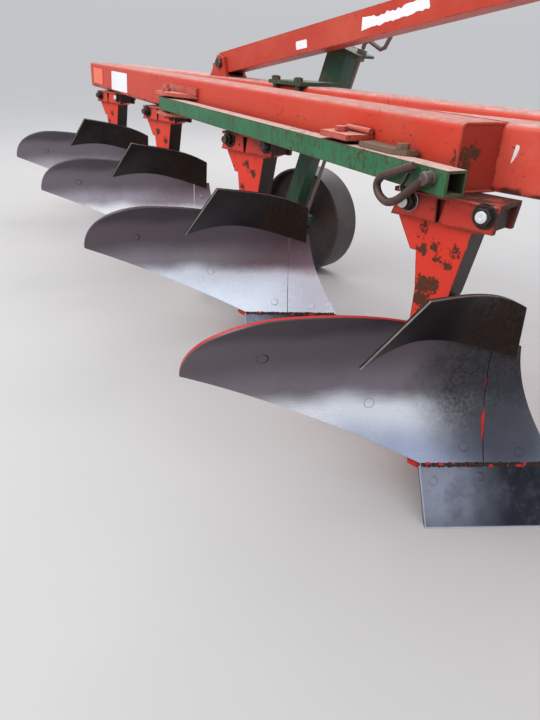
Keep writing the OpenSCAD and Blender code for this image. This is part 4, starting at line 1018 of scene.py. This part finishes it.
# %% [markdown]
# ## Bright bolt ends
# The bracket bolts were renewed not long ago: their ends and some washers are still zinc-bright against
# the dark nuts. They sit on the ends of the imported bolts, on the furrow side.

# %% Bolt ends and washers
BOLT_PITCH, BOLT_Z = 0.156, 0.606
bolt_end = lathe("bolt_end", [(0.0108, 0), (0.0110, 0.0008), (0.0104, 0.0022), (0.0098, 0.0026),
                              (0.0035, 0.0026), (0.0030, 0.0020)], bright_steel)
dull_end = bolt_end.copy()
dull_end.materials[0] = rusty_steel
wide_washer = lathe("washer", [(0.0180, 0), (0.0232, 0.0002), (0.0236, 0.0010), (0.0234, 0.0026),
                               (0.0228, 0.0030), (0.0178, 0.0030)], nut_steel)
bright_ring = lathe("bright_ring", [(0.0172, 0), (0.0205, 0.0002), (0.0210, 0.0010), (0.0206, 0.0022),
                                    (0.0172, 0.0024)], bright_steel)
for k in range(BODIES):
    front_end = bolt_end if k != 1 else dull_end
    rear_end = dull_end if k else bolt_end
    for name, mesh, x, y in (("bolt_end_front", front_end, 0, -0.0060),
                             ("bolt_end_rear", rear_end, -BOLT_PITCH, -0.0130),
                             ("front_washer", wide_washer, 0, 0.0100),
                             ("rear_ring", wide_washer if k else bright_ring, -BOLT_PITCH, 0.0098)):
        place = at_body(k) @ stand(Vector((x, y, BOLT_Z)), (0, -1, 0))
        new_piece(f"{name}_{k}", mesh.copy(), "bolt_steel", place)
print("bolt ends stand", round(BOLT_Z, 3), "m above the floor")

# %% [markdown]
# ## Soil in the joints
# Soil packs into the step between the share and the board, and flakes of red primer show in it. A strip
# of small quads follows the joint, and seeded noise lifts its middle into crumbs.


# %% Soil strips
def soil_finish(name, dark, pale, flakes):
    f = Finish(name)
    crumbs = spots(f, 300, 5, 0.7)
    f.cover = blend(f, dark, pale, ramp(f, crumbs, 0.45, 0.72))
    f.lay(flakes, ramp(f, spots(f, 60, 2, 0.5), 0.56, 0.59))
    return f.feed(base_color=f.cover, roughness=0.95, normal=rough_up(f, crumbs + spots(f, 90, 4), 0.0015))


joint_soil = soil_finish("joint_soil", tone(34, 26, 23), tone(92, 72, 60), tone(196, 44, 36))
SOIL_WIDE, SOIL_TALL, SOIL_SUNK, SOIL_STEPS = 0.0145, 0.0032, 0.0006, 90


def crumb_strip(name, line, width, tall, finish, seed, across=6):
    """A lumpy strip over line, a list of (point, sideways, out) in metres."""
    dice = random.Random(seed)
    made = bmesh.new()
    rows = []
    for point, side, out in line:
        spread, crown = width * dice.uniform(0.75, 1.1), tall * dice.uniform(0.35, 1.0)
        rows.append([made.verts.new(point + side * spread * (j / across - 0.5) + out * (
            crown * math.sin(math.pi * j / across) * dice.uniform(0.6, 1.2) - SOIL_SUNK))
            for j in range(across + 1)])
    for row, after in zip(rows, rows[1:]):
        for j in range(across):
            made.faces.new((row[j], after[j], after[j + 1], row[j + 1])).smooth = True
        made.faces.new((row[across], after[across], after[0], row[0]))  # the flat underside
    made.faces.new(rows[0])
    made.faces.new(rows[-1][::-1])
    return finish_mesh(name, made, (finish,))


def joint_line(count):
    """Points along the joint over the share, with the ways across it and out of it."""
    start, end = WING_A - 0.004, land_edge(SHARE_TOP) - 0.010
    for i in range(count + 1):
        a = start + (end - start) * i / count
        out = off_board(a, SHARE_TOP + 0.002)
        yield on_board(a, SHARE_TOP + 0.001), level(SHARE_ANGLE).cross(out).normalized(), out


for k in range(BODIES):
    strip = crumb_strip("joint_soil", joint_line(SOIL_STEPS), SOIL_WIDE, SOIL_TALL, joint_soil, 11 + k)
    new_piece(f"joint_soil_{k}", strip, "dark_steel", at_body(k))

# %% [markdown]
# ## The open seam
# On the first body the shin piece has worked loose a little, and the red primer behind it shows as a
# long thin flame in the seam. It is a narrow sheet on the board's rule, a hair in front of the steel.

# %% Red in the seam
red_flake = paint("red_flake", tone(206, 40, 38), tone(190, 46, 40), tone(190, 80, 70), dusty=0.2, soiled=0.2)
# heights along the seam, and half the width of the red gap there
SLITS = {
    "seam_slit_low": [(0.138, 0.0007), (0.152, 0.0018), (0.166, 0.0032), (0.178, 0.0042), (0.190, 0.0032),
                      (0.200, 0.0012), (0.208, 0.0003)],
    "seam_slit_high": [(0.244, 0.0003), (0.252, 0.0008), (0.260, 0.0010), (0.268, 0.0003)]}
for name, slit in SLITS.items():
    cells = [[(-SHIN_A - 0.0012 + side * half + 0.0010 * math.sin(z * 70), z) for z, half in slit]
             for side in (-1, 0, 1)]
    flame = sheet_mesh(name, *two_grids(cells, 0.0006, -0.002), (red_flake,) * 4)
    new_piece(name, flame, "red_paint", at_body(0))
print("red shows in the seam at", [slit[0][0] for slit in SLITS.values()], "m")

# %% [markdown]
# ## The bent hook
# The hook on the packer arm is a forged rod, bent cold over a peg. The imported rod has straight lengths;
# here a smooth curve runs through the same points, and rings of vertices follow it. The rings keep one
# direction as reference, so the tube doesn't twist, and the end is drawn in to a round tip.


# %% A smooth rod
def smooth_line(points, steps=10):
    """A curve through all the points (Catmull-Rom), with that many steps between two of them."""
    ends = [points[0] * 2 - points[1]] + list(points) + [points[-1] * 2 - points[-2]]
    line = []
    for a, b, c, d in zip(ends, ends[1:], ends[2:], ends[3:]):
        for s in range(steps):
            t = s / steps
            line.append(0.5 * (2 * b + (c - a) * t + (2 * a - 5 * b + 4 * c - d) * t * t
                               + (3 * b - a - 3 * c + d) * t ** 3))
    return line + [points[-1]]


def rod(name, line, radius, finish, sides=20, tip=0.72):
    """A round rod along line; radius is a function of the way along, 0 to 1, and tip draws in its ends."""
    made, rings = bmesh.new(), []
    side = (line[1] - line[0]).orthogonal().normalized()
    last = len(line) - 1
    for i, point in enumerate(line):
        way = (line[min(i + 1, last)] - line[max(i - 1, 0)]).normalized()
        side = (side - side.project(way)).normalized()
        reach = radius(i / last) * (tip if i in (0, last) else 1.0)
        rings.append(round_ring(made, point, side, way.cross(side), reach, sides))
    skin(made, rings)
    return finish_mesh(name, made, (finish,))


three = [Vector((n, n * n, 0)) for n in range(3)]
print("a smooth line through 3 points has", len(smooth_line(three)), "points")

# %% [markdown]
# ## Its bend and its boss
# The hook starts at a turned boss on the arm's outer face, runs down and to the rear, and turns forward
# and up again in an open loop. Both pieces are parented to an empty named for the arm.

# %% Hook and boss
ARM_LOW, ARM_FACE = 0.636, -0.069
HOOK_RADIUS, HOOK_FACE = 0.008, -0.084
HOOK_LINE = [(-0.069, 0.026), (-0.104, 0.0), (-0.136, -0.024), (-0.166, -0.034), (-0.193, -0.025),
             (-0.203, -0.007), (-0.189, 0.010), (-0.162, 0.021), (-0.130, 0.033), (-0.102, 0.043)]
hook_way = smooth_line([on_main(x, HOOK_FACE, ARM_LOW + z) for x, z in HOOK_LINE])


def forged(t):
    """Thick where it is welded on, a little thinner at the free end, with a rolled tip."""
    return HOOK_RADIUS * (1.0 + 0.10 * math.exp(-t * 14) - 0.06 * t + 0.08 * math.exp(-(1 - t) * 40))


boss = lathe("hook_boss", [(0.0150, 0), (0.0148, 0.002), (0.0128, 0.005), (0.0126, 0.016), (0.0112, 0.0195),
                           (0.0080, 0.0210), (0.0030, 0.0213)], boss_wear_and_highlight)
boss_x, boss_z = HOOK_LINE[0]
boss_place = stand(on_main(boss_x, ARM_FACE, ARM_LOW + boss_z), on_main(0, -1, 0) - on_main(0, 0, 0))
for name, mesh, place in (("hook", rod("hook", hook_way, forged, rusty_steel), None),
                          ("hook_boss", boss, boss_place)):
    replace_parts(new_piece(name, mesh, "bolt_steel", place, "packer_arm"), "arm_hook")
print("hook's rod is", round(sum((b - a).length for a, b in zip(hook_way, hook_way[1:])), 3), "m long")

# %% [markdown]
# ## Weld beads
# Every joint of the frame is welded. A bead is a row of overlapping ripples a few millimetres apart,
# about as wide as a finger is thick, and it is painted with the frame. The mesh is a tube whose radius
# swells at each ripple; half of it is sunk in the corner.


# %% A bead
BEAD_SIDES, RIPPLE, FINE, THICK = 8, 0.0045, 0.0035, 0.0045
red_weld = paint("red_weld", tone(196, 62, 44), tone(200, 88, 70), tone(206, 140, 122),
                 dusty=0.5, chipped=0.8, soiled=0.35)


def bead(name, line, radius, seed, closed=False):
    """A weld along line; closed carries it back to its first point."""
    dice = random.Random(seed)
    line = line + line[:1] if closed else line
    stations = []
    for a, b in zip(line, line[1:]):
        steps = max(2, round((b - a).length / RIPPLE * 2))
        stations += [(a.lerp(b, s / steps), (b - a).normalized()) for s in range(steps)]
    stations.append((line[-1], (line[-1] - line[-2]).normalized()))
    made, rings = bmesh.new(), []
    for index, (point, way) in enumerate(stations):
        swell = radius * ((1.0 if index % 2 else 0.80) + dice.uniform(-0.06, 0.06))
        if not closed and index in (0, len(stations) - 1):
            swell *= 0.3
        side = way.orthogonal().normalized()
        ring = round_ring(made, point, side, way.cross(side), swell, BEAD_SIDES)
        if rings:  # start where the ring before starts, so the tube doesn't twist
            start = min(range(BEAD_SIDES), key=lambda n: (ring[n].co - rings[-1][0].co).length)
            ring = ring[start:] + ring[:start]
        rings.append(ring)
    skin(made, rings)
    new_piece(name, finish_mesh(name, made, (red_weld,)), "red_paint")


print("a bead has", round(1 / RIPPLE), "ripples to the metre")

# %% [markdown]
# ## Where the frame is welded
# There is a bead round the main beam's end, along the plates of every leg bracket, where two beams meet
# the front cross beam, round the feet of the mast and along the hitch lugs.


# %% Beads on the frame
def placed(*corners):
    """Corners in the first body's frame, moved to the plough's."""
    return [Vector(corner) - MIDDLE for corner in corners]


def beam_end(x, inset):
    """The outline of the beam's end, inset by that much, with rounded corners."""
    loop, r = [], BEAM_ROUND
    for w, z, start in ((BEAM_WIDE - r, BEAM_HIGH - r, 0), (r, BEAM_HIGH - r, 90), (r, BEAM_LOW + r, 180),
                        (BEAM_WIDE - r, BEAM_LOW + r, 270)):
        for turn in (math.radians(start + step) for step in (0, 30, 60, 90)):
            loop.append(on_main(x, w + (r - inset) * math.cos(turn), z + (r - inset) * math.sin(turn)))
    return loop


SIDE_Y, FRONT_X, MAST_Y = 0.123, 0.550, 0.430
bead("weld_beam_end", beam_end(BEAM_FRONT - 0.0010, 0.002), 0.0032, 3, closed=True)
for k in range(BODIES):
    for n, y in enumerate((0.010, 0.100)):
        bead(f"weld_bracket_{k}_{n}", [at_body(k) @ Vector((x, y, 0.6235)) for x in (-0.186, 0.021)],
             FINE, 20 + k)
for n, ends in enumerate(((SIDE_Y + 0.010, SIDE_Y + 0.110), (0.265, 0.372))):
    bead(f"weld_front_{n}_top", placed(*((FRONT_X - 0.001, y, BEAM_HIGH) for y in ends)), THICK, 31 + n)
for n, s in enumerate((-1, 1)):
    low, high, top = MAST_Y + s * 0.265 - 0.043, MAST_Y + s * 0.265 + 0.043, BEAM_HIGH + 0.001
    corners = (0.574, low, top), (0.666, low, top), (0.666, high, top), (0.574, high, top)
    bead(f"weld_mast_foot_{n}", placed(*corners), THICK, 41 + s, closed=True)
    for m, side in enumerate((-1, 1)):
        y = MAST_Y + s * 0.300 + side * 0.0105
        bead(f"weld_lug_{n}_{m}", placed(*((x, y, BEAM_LOW - 0.0005) for x in (0.566, 0.664))),
             THICK, 51 + s + side)

# %% [markdown]
# ## Blank labels, a reflector and scraped paint
# Places that carry printing on a real plough stay blank here: thin white foil with soft corners. The
# amber reflector sits at the beam's tail end. Each is a thin plate cut from an outline on the tube's face.


# %% Thin foil
def foil(name, place, outline, thick, finish, soft=0.0):
    """Thin plate on a face: place is the face's matrix (X and Y in the face, Z out of it)."""
    made = slab(outline, 0, thick)
    if soft:
        upright = [e for e in made.edges if abs(e.verts[0].co.z - e.verts[1].co.z) > thick / 2]
        bmesh.ops.bevel(made, geom=upright, offset=soft, segments=4, affect="EDGES")
    new_piece(name, finish_mesh(name, made, (finish,)), "red_paint", place)


def foil_finish(name, colour, dirt, rough=0.45, worn=0.3):
    f = Finish(name)
    smear = ramp(f, spots(f, 30, 6, 0.7), 0.62 - 0.15 * worn, 0.85 - 0.15 * worn)
    f.cover = blend(f, colour, dirt, smear * (0.4 + worn))
    return f.feed(base_color=f.cover, roughness=rough + smear * 0.3,
                  normal=rough_up(f, spots(f, 120, 3) * 0.4 + smear, 0.0002, 0.0003))


white_foil = foil_finish("blank_foil", tone(246, 246, 246), tone(206, 150, 138))
chip_white = foil_finish("white_primer", tone(236, 232, 222), tone(206, 188, 172), worn=0.2)
amber = foil_finish("amber_reflector", tone(255, 96, 20), tone(226, 92, 44), 0.25, 0.15)

print("foil finishes:", white_foil.name, chip_white.name, amber.name)

# %% [markdown]
# ## Where they sit
# Each outline is drawn in metres on the face that carries it: the main beam's furrow side, the side of
# the sloping strut, and the side beam's face, where a scrape shows the white primer under the red.

# %% Labels, reflector and scrape
near_face = Matrix.Translation(on_main(0, -0.0001, 0)) @ Matrix((
    (math.cos(BEAM_ANGLE), 0, -math.sin(BEAM_ANGLE), 0),
    (-math.sin(BEAM_ANGLE), 0, -math.cos(BEAM_ANGLE), 0), (0, 1, 0, 0), (0, 0, 0, 1)))
FOIL_THICK = 0.0005
foil("reflector", near_face, [(-3.112, 0.650), (-2.896, 0.650), (-2.884, 0.729), (-3.100, 0.729)],
     0.0022, amber, 0.004)
foil("label_beam", near_face, [(-2.700, 0.640), (-2.390, 0.642), (-2.378, 0.728), (-2.682, 0.728)],
     FOIL_THICK, white_foil, 0.004)

STRUT_REAR, STRUT_YAW, STRUT_PITCH = 1.590, math.radians(-11.734352), math.radians(9.418091)
strut_place = (Matrix.Translation(Vector((-STRUT_REAR, 0.8836504, 0.801)) - MIDDLE)
               @ Matrix.Rotation(STRUT_YAW, 4, "Z") @ Matrix.Rotation(-STRUT_PITCH, 4, "Y"))
strut_face = strut_place @ Matrix.Translation((0, -0.0351, 0)) @ Matrix.Rotation(math.pi / 2, 4, "X")
foil("label_small", strut_face, [(0.500, -0.024), (0.561, -0.025), (0.560, 0.001), (0.499, 0.002)],
     FOIL_THICK, white_foil, 0.002)
dice = random.Random(5)
torn = [(0.829, -0.019)] + [(0.829 + 0.011 * i, -0.019 + 0.0005 * i + dice.uniform(-0.002, 0.003))
                            for i in range(1, 25)]
torn += [(1.098, -0.004), (1.094, 0.014), (1.080, 0.021)]
torn += [(1.080 - 0.011 * i, 0.0215 - 0.0002 * i - dice.uniform(0.0, 0.010) * (1 if i > 7 else 0.2))
         for i in range(1, 22)]
foil("label_large", strut_face, torn + [(0.834, 0.018)], FOIL_THICK, white_foil)
side_face = (Matrix.Translation(Vector((0, SIDE_Y - 0.0001, 0)) - MIDDLE)
             @ Matrix.Rotation(math.pi / 2, 4, "X"))
foil("scraped_paint", side_face, [(-0.0215, 0.683), (-0.0180, 0.687), (-0.0130, 0.698), (-0.0100, 0.713),
                                  (-0.0125, 0.7165), (-0.0175, 0.7170), (-0.0195, 0.702)], 0.0003, chip_white)

# %% [markdown]
# ## Floor and light
# The plough stands on a plain pale floor under soft light. The world is bright above and as grey as the
# floor at the horizon, so the floor has no visible end, and polished steel has a light and a darker half
# to mirror. One wide lamp gives the shapes a light and a dark side, and one fills from behind.

# %% Floor, sky and lamps
bpy.ops.mesh.primitive_plane_add(size=110, location=(0, 0, 0))
floor = bpy.context.object
floor.name = "floor"
ground = Finish("studio_floor")
floor.data.materials.append(ground.feed(
    base_color=blend(ground, tone(198, 195, 191), tone(190, 187, 183), spots(ground, 2, 3)), roughness=1.0,
    specular_ior_level=0.0))

HORIZON, ZENITH = tone(195.5, 196.5, 199.5), (1.05, 1.10, 1.20, 1.0)
world = bpy.data.worlds.new("studio_sky")
world.use_nodes = True
scene.world = world
sky = Graph(world.node_tree)
upward = split(sky, sky.node("ShaderNodeTexCoord", out=GENERATED), 2)
sky.plug(sky.tree.nodes["Background"].inputs["Color"],
         blend(sky, HORIZON, ZENITH, ramp(sky, upward, 0.02, 0.45)))


def lamp(name, place, aim, size, power):
    light = bpy.data.lights.new(name, "AREA")
    light.size, light.energy = size, power
    holder = bpy.data.objects.new(name, light)
    scene.collection.objects.link(holder)
    holder.location = place
    holder.rotation_euler = (Vector(aim) - Vector(place)).to_track_quat("-Z", "Y").to_euler()


lamp("key_light", (-1.0, -3.4, 3.8), (0, 0, 0.3), 3.0, 120)
lamp("rim_light", (-2.0, 3.4, 3.6), (0, 0, 0.4), 2.5, 60)
